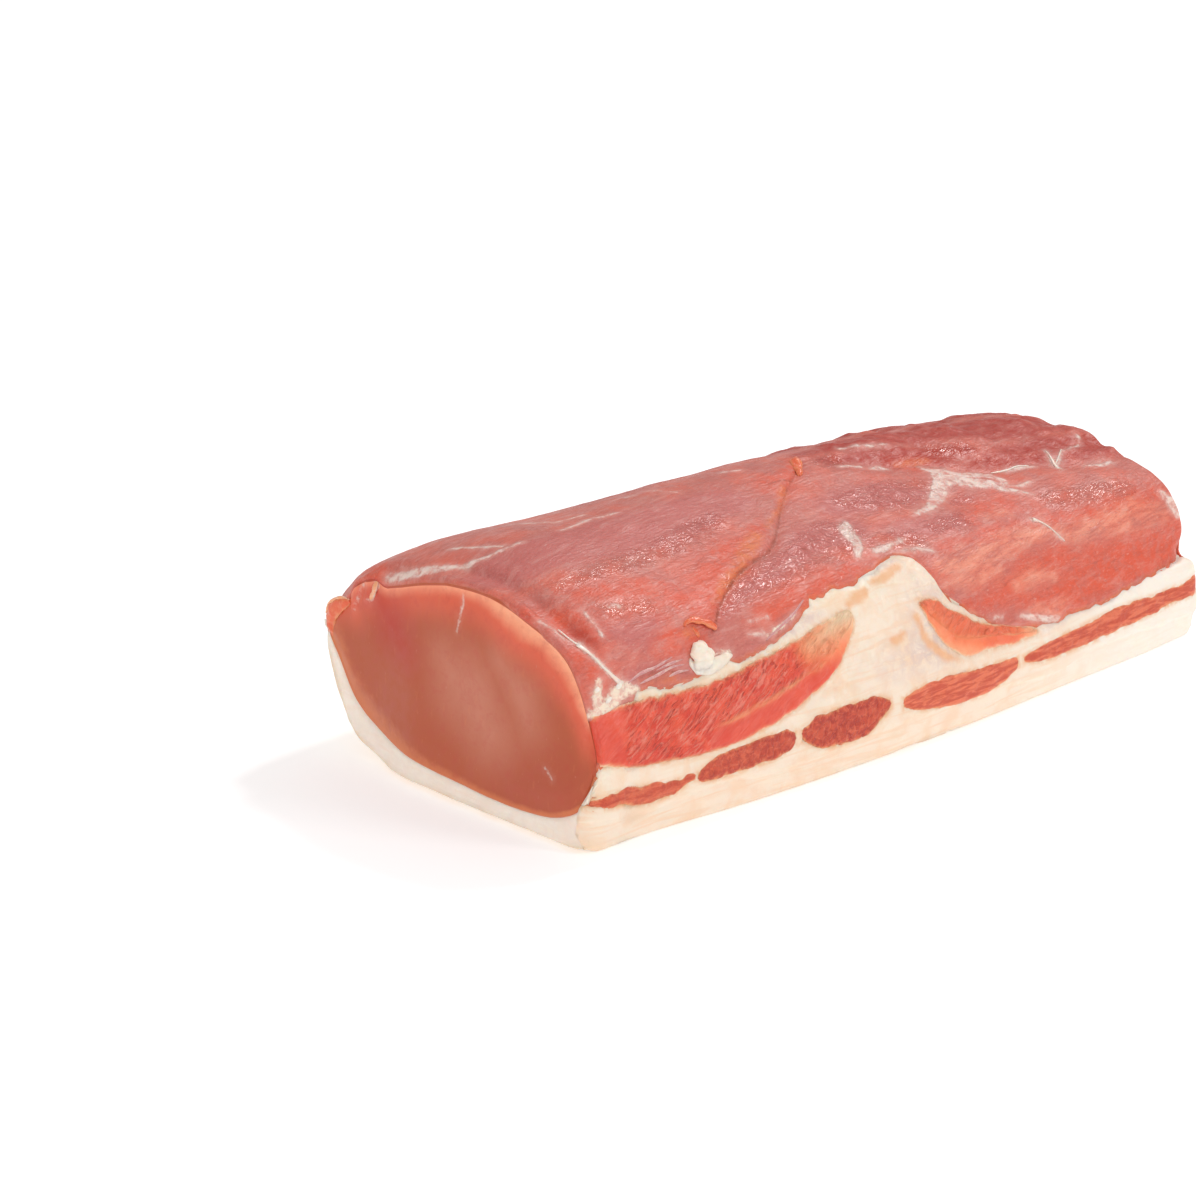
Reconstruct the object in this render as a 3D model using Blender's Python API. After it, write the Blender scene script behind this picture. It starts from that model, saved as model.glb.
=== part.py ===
"""A boneless pork loin, 283 mm long, lying on its fat cap as a butcher sets it down.

The whole outside is one form: thirteen rails run the length of the loin, and a smooth closed
curve through them gives the section at any place along it. That form is then divided as the
meat is: the eye muscle on top, the fat cap under it and up its belly side, two strips of rib
lean that the knife left flat in the belly side, and five streaks of lean inside the cap. Each
is a solid of its own, and a hair of 0.3 mm is kept between neighbours.

+X runs along the loin from the near cut to the far cut, -Y is the belly side, +Y the chine
side, +Z is up, and the origin is under the middle of the loin. Sizes are in millimetres and
turn into metres when a mesh is made.
"""
import bmesh
import bpy
import numpy as np

MM = 0.001

# --- driving dimensions -------------------------------------------------------------------
LENGTH = 283.0
GAP = 0.3
SECTION_STEP = 9.5
RING_STEP = 8.0
DENSE_POINTS = 24
SLOPE_REACH = 1.5

# Places along the loin where the rails are given.
STATIONS = (-140.0, -122.0, -80.0, 0.0, 80.0, 115.0, 140.0)

# Across (y) and height (z) of each rail at the stations.
CORNER_Y = (-57.0, -57.5, -63.0, -68.5, -68.5, -68.5, -67.0)
CORNER_Z = 1.0
CAP_TOP_Y = (-57.5, -59.0, -63.0, -68.5, -66.5, -65.5, -66.5)
CAP_TOP_Z = (24.0, 24.0, 25.0, 25.0, 25.0, 26.0, 26.0)
LEDGE_Y = (-57.5, -59.0, -62.5, -66.0, -60.5, -57.5, -56.5)
LEDGE_Z = (28.0, 29.0, 30.0, 31.0, 27.0, 27.0, 27.0)
WALL_Y = (-56.0, -57.5, -60.5, -62.0, -61.5, -61.5, -60.0)
WALL_Z = (36.0, 38.0, 40.0, 42.0, 36.0, 36.0, 35.0)
BELLY_SHOULDER_Y = (-45.5, -47.5, -49.5, -48.5, -50.5, -51.0, -51.5)
BELLY_SHOULDER_Z = (60.0, 61.0, 60.0, 56.0, 51.0, 51.0, 50.5)
TOP_Y = (-25.5, -23.5, -23.5, -21.5, -19.5, -20.5, -21.5)
TOP_Z = (70.0, 74.0, 72.5, 67.0, 61.0, 61.0, 60.5)
CREST_Y = (0.5, 6.5, 6.5, 8.5, 9.5, 6.5, 4.5)
CREST_Z = (73.0, 76.8, 77.3, 75.2, 68.7, 64.5, 62.5)
CHINE_SHOULDER_Y = (49.5, 53.0, 47.0, 42.5, 42.5, 41.5, 38.5)
CHINE_SHOULDER_Z = (62.5, 63.0, 64.0, 61.5, 57.0, 55.0, 54.0)
CHINE_SIDE_Y = (67.5, 68.8, 68.0, 67.0, 64.0, 62.0, 56.0)
CHINE_SIDE_Z = (43.0, 43.0, 40.0, 37.0, 34.0, 33.0, 31.0)
CHINE_LOW_Y = (57.0, 59.5, 59.0, 58.0, 55.5, 53.5, 49.5)
CHINE_LOW_Z = 9.0
# How many rails there are, and which of them are the base corner and the rest flat's chine edge.
RAILS = 13
BASE_CORNER = 2
REST_CHINE = 12

# The flat that the loin rests on.
REST_BELLY_Y = -20.5
REST_CHINE_Y = 32.5
CORNER_UNDERCUT = 1.0

# Relief on the lean: where it lies seen from above, how wide, how deep or high.
SEAM_PATH = ((18.0, 19.0), (10.0, 4.0), (-11.0, -11.0), (-35.0, -29.0), (-56.0, -39.0), (-87.0, -51.0))
SEAM_WIDTH = 5.0
SEAM_DEPTH = 1.6
CHINE_GROOVE_PATH = (
    (33.0, 5.0), (39.0, -3.0), (52.0, -7.0), (70.0, -14.0), (88.0, -21.0), (102.0, -26.0), (142.0, -28.0),
)
CHINE_GROOVE_WIDTH = 7.0
CHINE_GROOVE_DEPTH = 2.6
RELIEF_FLOOR = 40.0

# Cut ends: how far each loop of the face stands proud of the rim, and its size against the rim.
FACE_LOOPS = ((-1.3, 1.0), (-0.4, 0.992), (0.0, 0.976), (0.4, 0.80), (0.7, 0.42))
FACE_CENTRE = (0.0, 20.0)
FAR_LEAN_SET_BACK = 1.0
NEAR_FOOT = 2.0
FOOT_HEIGHT = 16.0
SET_BACK_LOW = 22.0
SET_BACK_HIGH = 34.0
END_RUN = 30.0

# The belly side is measured up the wall from the base corner, along the surface.
# Where the fat stops on the belly side (place along the loin, distance up the wall).
FAT_EDGE = (
    (-142.0, 26.0), (-125.0, 28.0), (-100.0, 32.0), (-62.0, 37.0), (-45.0, 45.0), (-30.0, 52.0), (-11.0, 60.0),
    (3.0, 64.0), (10.0, 62.5), (13.0, 54.0), (16.0, 46.0), (23.0, 37.5), (34.0, 30.0), (52.0, 24.5),
    (66.0, 23.5), (82.0, 24.5), (104.0, 26.5), (127.0, 32.0), (142.0, 35.0),
)
# Thickness of the fat on the belly wall (place along the loin, thickness).
WALL_FAT = ((-142.0, 1.3), (-100.0, 3.0), (-60.0, 4.5), (0.0, 6.0), (50.0, 6.5), (80.0, 8.5), (142.0, 10.5))
# Between these places the fat climbs the wall steeply, so the sections there stand closer.
PATCH_START = -52.0
PATCH_END = 60.0
PATCH_STEP = 4.0
BLOCK_STEP = 13.0
FAT_LIP = 1.4
FAT_LIP_RUN = 2.5

# The underside of the eye muscle, against the fat: height over the ground at places across.
EYE_HEEL_IN = 4.5
EYE_HEEL_Z = 14.0
EYE_TOE_IN = 14.0
EYE_TOE_Z = 8.5
EYE_FLOOR = ((-22.5, 6.2), (-1.0, 6.8), (19.5, 8.0))
EYE_CHINE_IN = 15.0
EYE_CHINE_Z = 11.5
EYE_CHINE_LOW_IN = 3.5
EYE_CHINE_LOW_Z = 17.8
EYE_CHINE_UP_IN = 4.5
EYE_CHINE_UP_DROP = 10.5
FAT_CHINE_DROP = 3.5
EYE_FLOOR_COUNTS = (1, 1, 1, 2, 2, 2, 2, 2, 2, 2, 1, 1, 1)
# The cutting block leaves the loin's surface this far past the fat's edge on each side, and
# its top then follows the outside between these insets.
EDGE_LEAD = 2.0
CHINE_LEAD = 3.0
OVER_FROM_EDGE = 10.0
OVER_FROM_CHINE = 12.0
OVER_POINTS = 14

# Strips of lean that the belly side shows: (place along, lower edge, upper edge) up the wall.
RIB_FRONT = (
    (-143.0, 28.0, 43.0), (-129.0, 24.0, 43.5), (-114.0, 22.0, 43.0), (-91.0, 21.0, 41.0), (-72.0, 23.3, 43.3),
    (-55.0, 30.0, 45.5), (-36.0, 40.0, 49.0), (-22.0, 49.0, 52.0),
)
RIB_REAR = (
    (1.0, 44.0, 47.0), (4.0, 38.0, 46.5), (9.0, 29.0, 45.0), (15.0, 25.0, 40.0), (27.0, 23.3, 33.5),
    (40.0, 22.0, 28.5), (53.0, 22.0, 24.3),
)
CAP_STREAKS = (
    ((-143.0, 15.0, 18.5), (-131.0, 12.5, 18.0), (-119.0, 10.3, 16.5), (-111.0, 10.5, 15.5),
     (-104.5, 13.0, 14.5)),
    ((-102.5, 13.0, 15.5), (-95.0, 11.5, 18.0), (-83.0, 11.8, 20.0), (-70.0, 12.3, 20.7), (-60.5, 14.5, 19.3)),
    ((-58.5, 15.0, 19.0), (-52.0, 11.0, 21.0), (-40.0, 9.5, 22.0), (-29.0, 10.5, 22.0), (-19.5, 16.0, 19.5)),
    ((-14.5, 14.5, 18.5), (-5.0, 11.8, 20.0), (12.0, 9.3, 19.5), (27.0, 9.3, 18.5), (42.0, 14.0, 17.0)),
    ((44.5, 14.5, 16.5), (52.0, 13.8, 17.3), (68.0, 12.5, 17.8), (84.0, 12.3, 19.3), (100.0, 13.2, 20.2),
     (118.0, 14.0, 20.4), (143.0, 15.5, 22.0)),
)
RIB_DEPTH = 4.2
STREAK_DEPTH = 9.5
STRIP_STEP = 5.5
# Half section of a strip under the surface: place across, share of its depth. A thin strip
# is no deeper than its width lets it be.
LENS = ((-1.0, 0.0), (-0.72, 0.62), (0.0, 1.0), (0.72, 0.62), (1.0, 0.0))
LENS_LEAST_DEPTH = 0.5
LENS_DEPTH_PER_HALF_WIDTH = 2.0
# How far the cutting blocks reach outside the loin.
PROUD = 3.0
SHARP_ANGLE = 0.7

# --- colours (linear), one for each kind of tissue -------------------------------------------
EYE_COLOUR = (0.47, 0.14, 0.11)
FAT_COLOUR = (0.86, 0.74, 0.62)
RIB_COLOUR = (0.55, 0.09, 0.05)
STREAK_COLOUR = (0.47, 0.10, 0.06)


def clear_scene():
    """Empty the scene, so that the script can be run again."""
    for thing in list(bpy.data.objects):
        bpy.data.objects.remove(thing, do_unlink=True)


def material(name, colour, roughness):
    """A plain material in one colour of meat."""
    made = bpy.data.materials.new(name)
    made.use_nodes = True
    shader = made.node_tree.nodes["Principled BSDF"]
    shader.inputs["Base Color"].default_value = (*colour, 1.0)
    shader.inputs["Roughness"].default_value = roughness
    shader.inputs["Metallic"].default_value = 0.0
    return made


def smooth_value(places, values, x):
    """A cubic that passes through values at uneven places, with its slope taken from both sides."""
    places = np.asarray(places, float)
    values = np.asarray(values, float)
    slopes = np.gradient(values, places)
    i = int(np.clip(np.searchsorted(places, x) - 1, 0, len(places) - 2))
    span = places[i + 1] - places[i]
    t = (np.clip(x, places[0], places[-1]) - places[i]) / span
    return float(
        (2 * t**3 - 3 * t**2 + 1) * values[i]
        + (t**3 - 2 * t**2 + t) * span * slopes[i]
        + (-2 * t**3 + 3 * t**2) * values[i + 1]
        + (t**3 - t**2) * span * slopes[i + 1]
    )


def rail(values, x):
    """A rail's value at a place along the loin."""
    return smooth_value(STATIONS, values, x)


def curve_through(points, closed, counts):
    """Centripetal Catmull-Rom through points; each span gives its own count of points."""
    points = np.asarray(points, float)
    total = len(points)
    if closed:
        before, after = points[-1:], points[:2]
    else:
        before, after = 2 * points[:1] - points[1:2], 2 * points[-1:] - points[-2:-1]
    walk = np.concatenate([before, points, after])
    knots = np.sqrt(np.linalg.norm(np.diff(walk, axis=0), axis=1))
    out = []
    for i in range(total if closed else total - 1):
        p0, p1, p2, p3 = walk[i:i + 4]
        d0, d1, d2 = knots[i:i + 3]
        out_slope = ((p1 - p0) / d0 - (p2 - p0) / (d0 + d1) + (p2 - p1) / d1) * d1
        in_slope = ((p2 - p1) / d1 - (p3 - p1) / (d1 + d2) + (p3 - p2) / d2) * d1
        t = np.linspace(0.0, 1.0, counts[i], endpoint=False)[:, None]
        out.append(
            (2 * t**3 - 3 * t**2 + 1) * p1 + (t**3 - 2 * t**2 + t) * out_slope
            + (-2 * t**3 + 3 * t**2) * p2 + (t**3 - t**2) * in_slope
        )
    if not closed:
        out.append(points[-1:])
    return np.concatenate(out)


def section_keys(x):
    """The thirteen points that the section's outline passes through, from the rest flat round
    the belly side, over the top and down the chine side."""
    corner_y = rail(CORNER_Y, x)
    return (
        (REST_BELLY_Y, 0.0),
        (corner_y + CORNER_UNDERCUT, 0.0),
        (corner_y, CORNER_Z),
        (rail(CAP_TOP_Y, x), rail(CAP_TOP_Z, x)),
        (rail(LEDGE_Y, x), rail(LEDGE_Z, x)),
        (rail(WALL_Y, x), rail(WALL_Z, x)),
        (rail(BELLY_SHOULDER_Y, x), rail(BELLY_SHOULDER_Z, x)),
        (rail(TOP_Y, x), rail(TOP_Z, x)),
        (rail(CREST_Y, x), rail(CREST_Z, x)),
        (rail(CHINE_SHOULDER_Y, x), rail(CHINE_SHOULDER_Z, x)),
        (rail(CHINE_SIDE_Y, x), rail(CHINE_SIDE_Z, x)),
        (rail(CHINE_LOW_Y, x), CHINE_LOW_Z),
        (REST_CHINE_Y, 0.0),
    )


def span_counts():
    """Points on each span of the section, so that they stand about RING_STEP apart."""
    keys = np.array(section_keys(0.0))
    spans = np.linalg.norm(np.roll(keys, -1, axis=0) - keys, axis=1)
    return [max(1, round(span / RING_STEP)) for span in spans]


def section(x, counts):
    """The outline at x, with nothing below the ground."""
    outline = curve_through(section_keys(x), True, counts)
    outline[:, 1] = np.maximum(outline[:, 1], 0.0)
    return outline


def distance_to_path(points, path):
    """How far each point in plan is from a path of straight runs."""
    best = np.full(len(points), np.inf)
    for start, end in zip(path[:-1], path[1:]):
        start, run = np.array(start), np.subtract(end, start)
        t = np.clip((points - start) @ run / (run @ run), 0.0, 1.0)
        best = np.minimum(best, np.linalg.norm(points - start - t[:, None] * run, axis=1))
    return best


def with_relief(ring):
    """Press the seam between muscles and the groove beside the chine muscle into the top."""
    plan = ring[:, :2]
    from_seam = distance_to_path(plan, SEAM_PATH) / SEAM_WIDTH
    from_groove = distance_to_path(plan, CHINE_GROOVE_PATH) / CHINE_GROOVE_WIDTH
    seam = SEAM_DEPTH * np.exp(-(from_seam**2))
    groove = CHINE_GROOVE_DEPTH * np.exp(-(from_groove**2))
    above = ring[:, 2] > RELIEF_FLOOR
    ring[:, 2] -= np.where(above, seam + groove, 0.0)
    return ring


def ring_at(x, counts):
    """The section at x in space. At the far cut the lean stands back from the cap, and at the
    near cut the foot of the fat stands forward."""
    outline = section(x, counts)
    t = np.clip((outline[:, 1] - SET_BACK_LOW) / (SET_BACK_HIGH - SET_BACK_LOW), 0.0, 1.0)
    far_share = np.clip(1.0 - (LENGTH / 2 - x) / END_RUN, 0.0, 1.0)
    near_share = np.clip(1.0 - (LENGTH / 2 + x) / END_RUN, 0.0, 1.0)
    above_foot = np.clip(outline[:, 1] / FOOT_HEIGHT, 0.0, 1.0)
    along = x - FAR_LEAN_SET_BACK * far_share * t * t * (3 - 2 * t) + NEAR_FOOT * near_share * above_foot
    return with_relief(np.column_stack([along, outline]))


def loft(name, rings):
    """Extrude a face from ring to ring. Both ends are faces, and the whole is closed."""
    mesh = bmesh.new()
    first = mesh.faces.new([mesh.verts.new(np.asarray(point) * MM) for point in rings[0]])
    face = first
    for ring in rings[1:]:
        grown = bmesh.ops.extrude_face_region(mesh, geom=[face])["geom"]
        if face is not first:
            mesh.faces.remove(face)
        face = next(item for item in grown if isinstance(item, bmesh.types.BMFace))
        for vertex, point in zip(face.verts, ring):
            vertex.co = np.asarray(point) * MM
    bmesh.ops.triangulate(mesh, faces=mesh.faces[:], quad_method="FIXED")
    bmesh.ops.recalc_face_normals(mesh, faces=mesh.faces[:])
    data = bpy.data.meshes.new(name)
    mesh.to_mesh(data)
    mesh.free()
    made = bpy.data.objects.new(name, data)
    bpy.context.scene.collection.objects.link(made)
    return made


def shrunk(ring, size, along):
    """A ring drawn in towards the middle of the cut face and moved along the loin."""
    centre = np.array([0.0, *FACE_CENTRE])
    small = centre + (ring - centre) * np.array([1.0, size, size])
    small[:, 0] = ring[:, 0] + along
    return small


def whole_form():
    """The loin's outside, with softly rounded and slightly domed cut ends."""
    counts = span_counts()
    half = LENGTH / 2 - FACE_LOOPS[-1][0]
    near = ring_at(-half, counts)
    far = ring_at(half, counts)
    places = np.linspace(-half, half, round(LENGTH / SECTION_STEP) + 1)[1:-1]
    places = [x for x in places if abs(x) < half + FACE_LOOPS[0][0]]
    rings = [shrunk(near, size, -proud) for proud, size in reversed(FACE_LOOPS)]
    rings += [ring_at(x, counts) for x in places]
    rings += [shrunk(far, size, proud) for proud, size in FACE_LOOPS]
    return loft("whole_form", rings)


class WallCurve:
    """The section at one place, read by the distance up the belly wall from the base corner."""

    def __init__(self, x):
        dense = section(x, [DENSE_POINTS] * RAILS)
        self.line = dense[BASE_CORNER * DENSE_POINTS:REST_CHINE * DENSE_POINTS]
        steps = np.linalg.norm(np.diff(self.line, axis=0), axis=1)
        self.distance = np.concatenate([[0.0], np.cumsum(steps)])

    def point(self, up):
        """The point (y, z) this far up the wall."""
        return np.array([np.interp(up, self.distance, self.line[:, i]) for i in range(2)])

    def inward(self, up):
        """The direction into the meat there."""
        along = self.point(up + SLOPE_REACH) - self.point(up - SLOPE_REACH)
        along /= np.linalg.norm(along)
        return np.array([along[1], -along[0]])

    def sunk(self, up, depth):
        """A point under the surface; a negative depth is outside."""
        return self.point(up) + self.inward(up) * depth

    def at_chine_height(self, height):
        """How far round the curve its chine side comes down to a height."""
        over = self.line[:, 1] >= height
        return self.distance[np.nonzero(over)[0][-1]]


def eye_block_ring(x, grow):
    """A section that holds the eye muscle: its underside, then over the outside of the loin.
    grow moves the underside towards the fat."""
    wall = WallCurve(x)
    edge = np.interp(x, *np.transpose(FAT_EDGE))
    thick = np.interp(x, *np.transpose(WALL_FAT))
    corner_y = rail(CORNER_Y, x)
    low_y = rail(CHINE_LOW_Y, x)
    side_y, side_z = rail(CHINE_SIDE_Y, x), rail(CHINE_SIDE_Z, x)
    chine_edge = wall.at_chine_height(side_z - FAT_CHINE_DROP)
    middle_up = 0.5 * (edge + EYE_HEEL_Z)
    keys = [
        wall.sunk(edge + EDGE_LEAD, -PROUD),
        wall.sunk(edge, 0.0),
        wall.sunk(edge - FAT_LIP_RUN, min(FAT_LIP, thick)),
        wall.sunk(middle_up, thick),
        (wall.point(EYE_HEEL_Z)[0] + max(EYE_HEEL_IN, thick), EYE_HEEL_Z),
        (corner_y + EYE_TOE_IN, EYE_TOE_Z),
        *EYE_FLOOR,
        (low_y - EYE_CHINE_IN, EYE_CHINE_Z),
        (low_y - EYE_CHINE_LOW_IN, EYE_CHINE_LOW_Z),
        (side_y - EYE_CHINE_UP_IN, side_z - EYE_CHINE_UP_DROP),
        wall.sunk(chine_edge, 0.0),
        wall.sunk(chine_edge - CHINE_LEAD, -PROUD),
    ]
    under = curve_through(keys, False, EYE_FLOOR_COUNTS)
    slope = np.gradient(under, axis=0)
    slope /= np.linalg.norm(slope, axis=1)[:, None]
    under = under + grow * np.column_stack([slope[:, 1], -slope[:, 0]])
    ups = np.linspace(chine_edge - OVER_FROM_CHINE, edge + OVER_FROM_EDGE, OVER_POINTS)
    over = [wall.sunk(up, -PROUD) for up in ups]
    outline = np.concatenate([under, over])
    return np.column_stack([np.full(len(outline), x), outline])


def eye_block(name, grow):
    """The block that the eye muscle is cut with, longer than the loin at both ends."""
    reach = LENGTH / 2 + PROUD
    places = np.concatenate([
        np.arange(-reach, PATCH_START, BLOCK_STEP),
        np.arange(PATCH_START, PATCH_END, PATCH_STEP),
        np.arange(reach, PATCH_END, -BLOCK_STEP)[::-1],
    ])
    return loft(name, [eye_block_ring(x, grow) for x in places])


def steepness(along, values, x):
    """How much farther apart two lines at a steady gap stand up the wall than across the gap."""
    rise = smooth_value(along, values, x + 1.0) - smooth_value(along, values, x - 1.0)
    return float(np.hypot(1.0, 0.5 * rise))


def strip_block(name, outline, depth, grow):
    """A long lens of lean let into the belly wall, from just outside it to its depth.
    grow makes it larger all round."""
    along, low, high = np.transpose(outline)
    count = max(len(outline), round((along[-1] - along[0]) / STRIP_STEP) + 1)
    rings = []
    for t in np.linspace(0.0, 1.0, count):
        x = along[0] + t * (along[-1] - along[0])
        wall = WallCurve(x)
        lower = smooth_value(along, low, x) - grow * steepness(along, low, x)
        upper = smooth_value(along, high, x) + grow * steepness(along, high, x)
        middle, half = 0.5 * (lower + upper), 0.5 * (upper - lower)
        deep = min(depth, LENS_LEAST_DEPTH + LENS_DEPTH_PER_HALF_WIDTH * half) + grow
        shape = [(-1.0, -PROUD), *((side, share * deep) for side, share in LENS), (1.0, -PROUD)]
        points = [wall.sunk(middle + side * half, sink) for side, sink in shape]
        rings.append(np.array([(x, y, z) for y, z in points]))
    rings[0][:, 0] -= grow
    rings[-1][:, 0] += grow
    return loft(name, rings)


def cut(target, tool, operation):
    """Apply one Boolean to the target."""
    modifier = target.modifiers.new(operation.title(), "BOOLEAN")
    modifier.operation = operation
    modifier.solver = "EXACT"
    modifier.object = tool
    bpy.context.view_layer.update()
    result = bpy.data.meshes.new_from_object(target.evaluated_get(bpy.context.evaluated_depsgraph_get()))
    target.modifiers.clear()
    target.data = result


def copy_of(source, name):
    """A second object with its own mesh."""
    made = bpy.data.objects.new(name, source.data.copy())
    bpy.context.scene.collection.objects.link(made)
    return made


def finish(piece, made_of):
    """Give a piece its material and soft shading."""
    piece.data.materials.clear()
    piece.data.materials.append(made_of)
    piece.data.shade_smooth()
    piece.data.set_sharp_from_angle(angle=SHARP_ANGLE)


def main():
    clear_scene()
    whole = whole_form()
    eye_tool = eye_block("eye_tool", 0.0)
    eye_clear = eye_block("eye_clear", GAP)
    helpers = [whole, eye_tool, eye_clear]

    eye = copy_of(whole, "eye_muscle")
    cut(eye, eye_tool, "INTERSECT")
    fat = copy_of(whole, "fat_cap")
    cut(fat, eye_clear, "DIFFERENCE")

    strips = [("rib_lean_front", RIB_FRONT, RIB_DEPTH), ("rib_lean_rear", RIB_REAR, RIB_DEPTH)]
    strips += [(f"cap_streak_{i + 1}", outline, STREAK_DEPTH) for i, outline in enumerate(CAP_STREAKS)]
    rib_material = material("rib_lean", RIB_COLOUR, 0.4)
    streak_material = material("streak_lean", STREAK_COLOUR, 0.45)
    for name, outline, depth in strips:
        tool = strip_block(name + "_tool", outline, depth, 0.0)
        clear = strip_block(name + "_clear", outline, depth, GAP)
        helpers += [tool, clear]
        strip = copy_of(whole, name)
        cut(strip, tool, "INTERSECT")
        cut(fat, clear, "DIFFERENCE")
        if depth == RIB_DEPTH:
            cut(eye, clear, "DIFFERENCE")
        else:
            cut(strip, eye_clear, "DIFFERENCE")
        finish(strip, rib_material if depth == RIB_DEPTH else streak_material)

    finish(eye, material("eye_lean", EYE_COLOUR, 0.35))
    finish(fat, material("loin_fat", FAT_COLOUR, 0.5))
    for helper in helpers:
        bpy.data.objects.remove(helper, do_unlink=True)
    for piece in bpy.context.scene.objects:
        print(piece.name, len(piece.data.polygons), "faces")


main()
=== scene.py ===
# %% [markdown]
# # A raw boneless pork loin
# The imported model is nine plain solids: the long eye muscle, the fat cap under it, and the strips and
# streaks of lean that show in its belly side. They have the right size and place. What they lack is what
# makes meat look like meat: torn and smooth edges, silverskin, fibres, wet wrinkles and the way light
# goes a few millimetres into fat. This script makes a fine surface for each of them, in the same frame.

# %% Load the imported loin
import math

import bpy
import numpy as np
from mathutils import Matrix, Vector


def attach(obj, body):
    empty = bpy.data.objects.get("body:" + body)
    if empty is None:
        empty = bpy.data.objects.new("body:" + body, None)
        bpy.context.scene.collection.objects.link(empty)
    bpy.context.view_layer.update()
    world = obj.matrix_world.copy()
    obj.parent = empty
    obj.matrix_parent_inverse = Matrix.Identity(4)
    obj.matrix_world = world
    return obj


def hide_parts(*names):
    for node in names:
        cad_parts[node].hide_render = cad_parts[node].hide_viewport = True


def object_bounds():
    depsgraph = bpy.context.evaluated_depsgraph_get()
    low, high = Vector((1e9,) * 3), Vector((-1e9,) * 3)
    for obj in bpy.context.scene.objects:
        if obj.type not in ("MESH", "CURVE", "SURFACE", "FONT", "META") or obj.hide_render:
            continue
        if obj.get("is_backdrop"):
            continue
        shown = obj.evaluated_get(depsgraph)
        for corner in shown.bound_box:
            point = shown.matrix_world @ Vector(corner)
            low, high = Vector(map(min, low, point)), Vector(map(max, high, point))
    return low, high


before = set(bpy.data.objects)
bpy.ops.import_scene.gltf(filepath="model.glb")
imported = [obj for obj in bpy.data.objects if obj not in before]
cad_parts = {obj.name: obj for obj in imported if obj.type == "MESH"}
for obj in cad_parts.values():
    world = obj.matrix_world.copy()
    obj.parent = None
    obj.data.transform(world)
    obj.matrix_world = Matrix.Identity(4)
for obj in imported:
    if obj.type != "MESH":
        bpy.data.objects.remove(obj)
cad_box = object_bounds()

print("packed nodes:", sorted(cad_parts))

# %% Units
# The loin is measured in millimetres, as a butcher's ruler would, and meshes are in metres.
MM = 0.001


def seen(red, green, blue):
    """A colour as the eye sees it on a screen (0 to 255), turned into the linear light that nodes use."""
    shown = np.array([red, green, blue]) / 255.0
    linear = np.where(shown <= 0.04045, shown / 12.92, ((shown + 0.055) / 1.055) ** 2.4)
    return (*(float(part) for part in linear), 1.0)


# %% [markdown]
# ## Camera
# A long lens from about 1.5 m away, a little above the loin and off its near belly corner, so that the
# near cut, the belly side and the top all show.

# %% Camera
CAMERA_TURN = -44.5
CAMERA_HEIGHT = 20.5
CAMERA_LENS = 126.8
SENSOR = 36.0
FRAME_SIDE = 1200
CORNER_DEPTH = 1281.0
NEAR_CORNER = np.array([-140.0, -58.0, 0.0])
CORNER_IN_FRAME = (598.0, 855.0)


def camera_place():
    """Where the camera stands, worked out so that the near bottom corner falls on its place in the frame."""
    turn, height = math.radians(CAMERA_TURN), math.radians(CAMERA_HEIGHT)
    ahead = np.array([-math.sin(turn) * math.cos(height), math.cos(turn) * math.cos(height),
                      -math.sin(height)])
    right = np.array([math.cos(turn), math.sin(turn), 0.0])
    upward = np.cross(right, ahead)
    pixel = SENSOR / CAMERA_LENS / FRAME_SIDE * CORNER_DEPTH
    across = (CORNER_IN_FRAME[0] - FRAME_SIDE / 2) * pixel
    above = (FRAME_SIDE / 2 - CORNER_IN_FRAME[1]) * pixel
    return NEAR_CORNER - CORNER_DEPTH * ahead - across * right - above * upward


camera_data = bpy.data.cameras.new("camera")
camera_data.lens = CAMERA_LENS
camera_data.sensor_width = SENSOR
camera_data.clip_end = 50.0
camera = bpy.data.objects.new("camera", camera_data)
camera.location = camera_place() * MM
camera.rotation_euler = (math.radians(90.0 - CAMERA_HEIGHT), 0.0, math.radians(CAMERA_TURN))
bpy.context.scene.collection.objects.link(camera)
bpy.context.scene.camera = camera
print("camera at", [round(part, 3) for part in camera.location])

# %% [markdown]
# ## Floor and light
# A plain pale floor under an even white sky, and three lamps: one overhead towards the far end for the
# wet glints, one low on the belly side that keeps that side a little brighter than the near cut, and a
# wide one off the near end that lights the cut.

# %% Floor and light
bpy.context.scene.view_settings.view_transform = "Standard"
FLOOR_HALF = 12.0
FLOOR_TONE = (0.9, 0.9, 0.9, 1.0)
FLOOR_GLOW = 0.3
# The sky is darker near the horizon, so that the wet top doesn't turn white where it is seen edge on.
SKY_LOW, SKY_HIGH = 0.3, 0.8
LAMPS = (
    # name, place in metres, side in metres, watts
    ("overhead lamp", (1.5, 0.1, 1.9), 0.3, 15.0),
    ("belly side lamp", (0.55, -1.25, 0.75), 0.4, 4.6),
    ("near end lamp", (-1.4, -0.35, 0.6), 0.7, 4.2),
)


def lamp(name, place, side, watts):
    """A square lamp that faces the loin."""
    data = bpy.data.lights.new(name, "AREA")
    data.size = side
    data.energy = watts
    made = bpy.data.objects.new(name, data)
    made.location = place
    x, y, z = place
    made.rotation_euler = (math.atan2(math.hypot(x, y), z), 0.0, math.atan2(x, -y))
    bpy.context.scene.collection.objects.link(made)


for settings in LAMPS:
    lamp(*settings)

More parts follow.
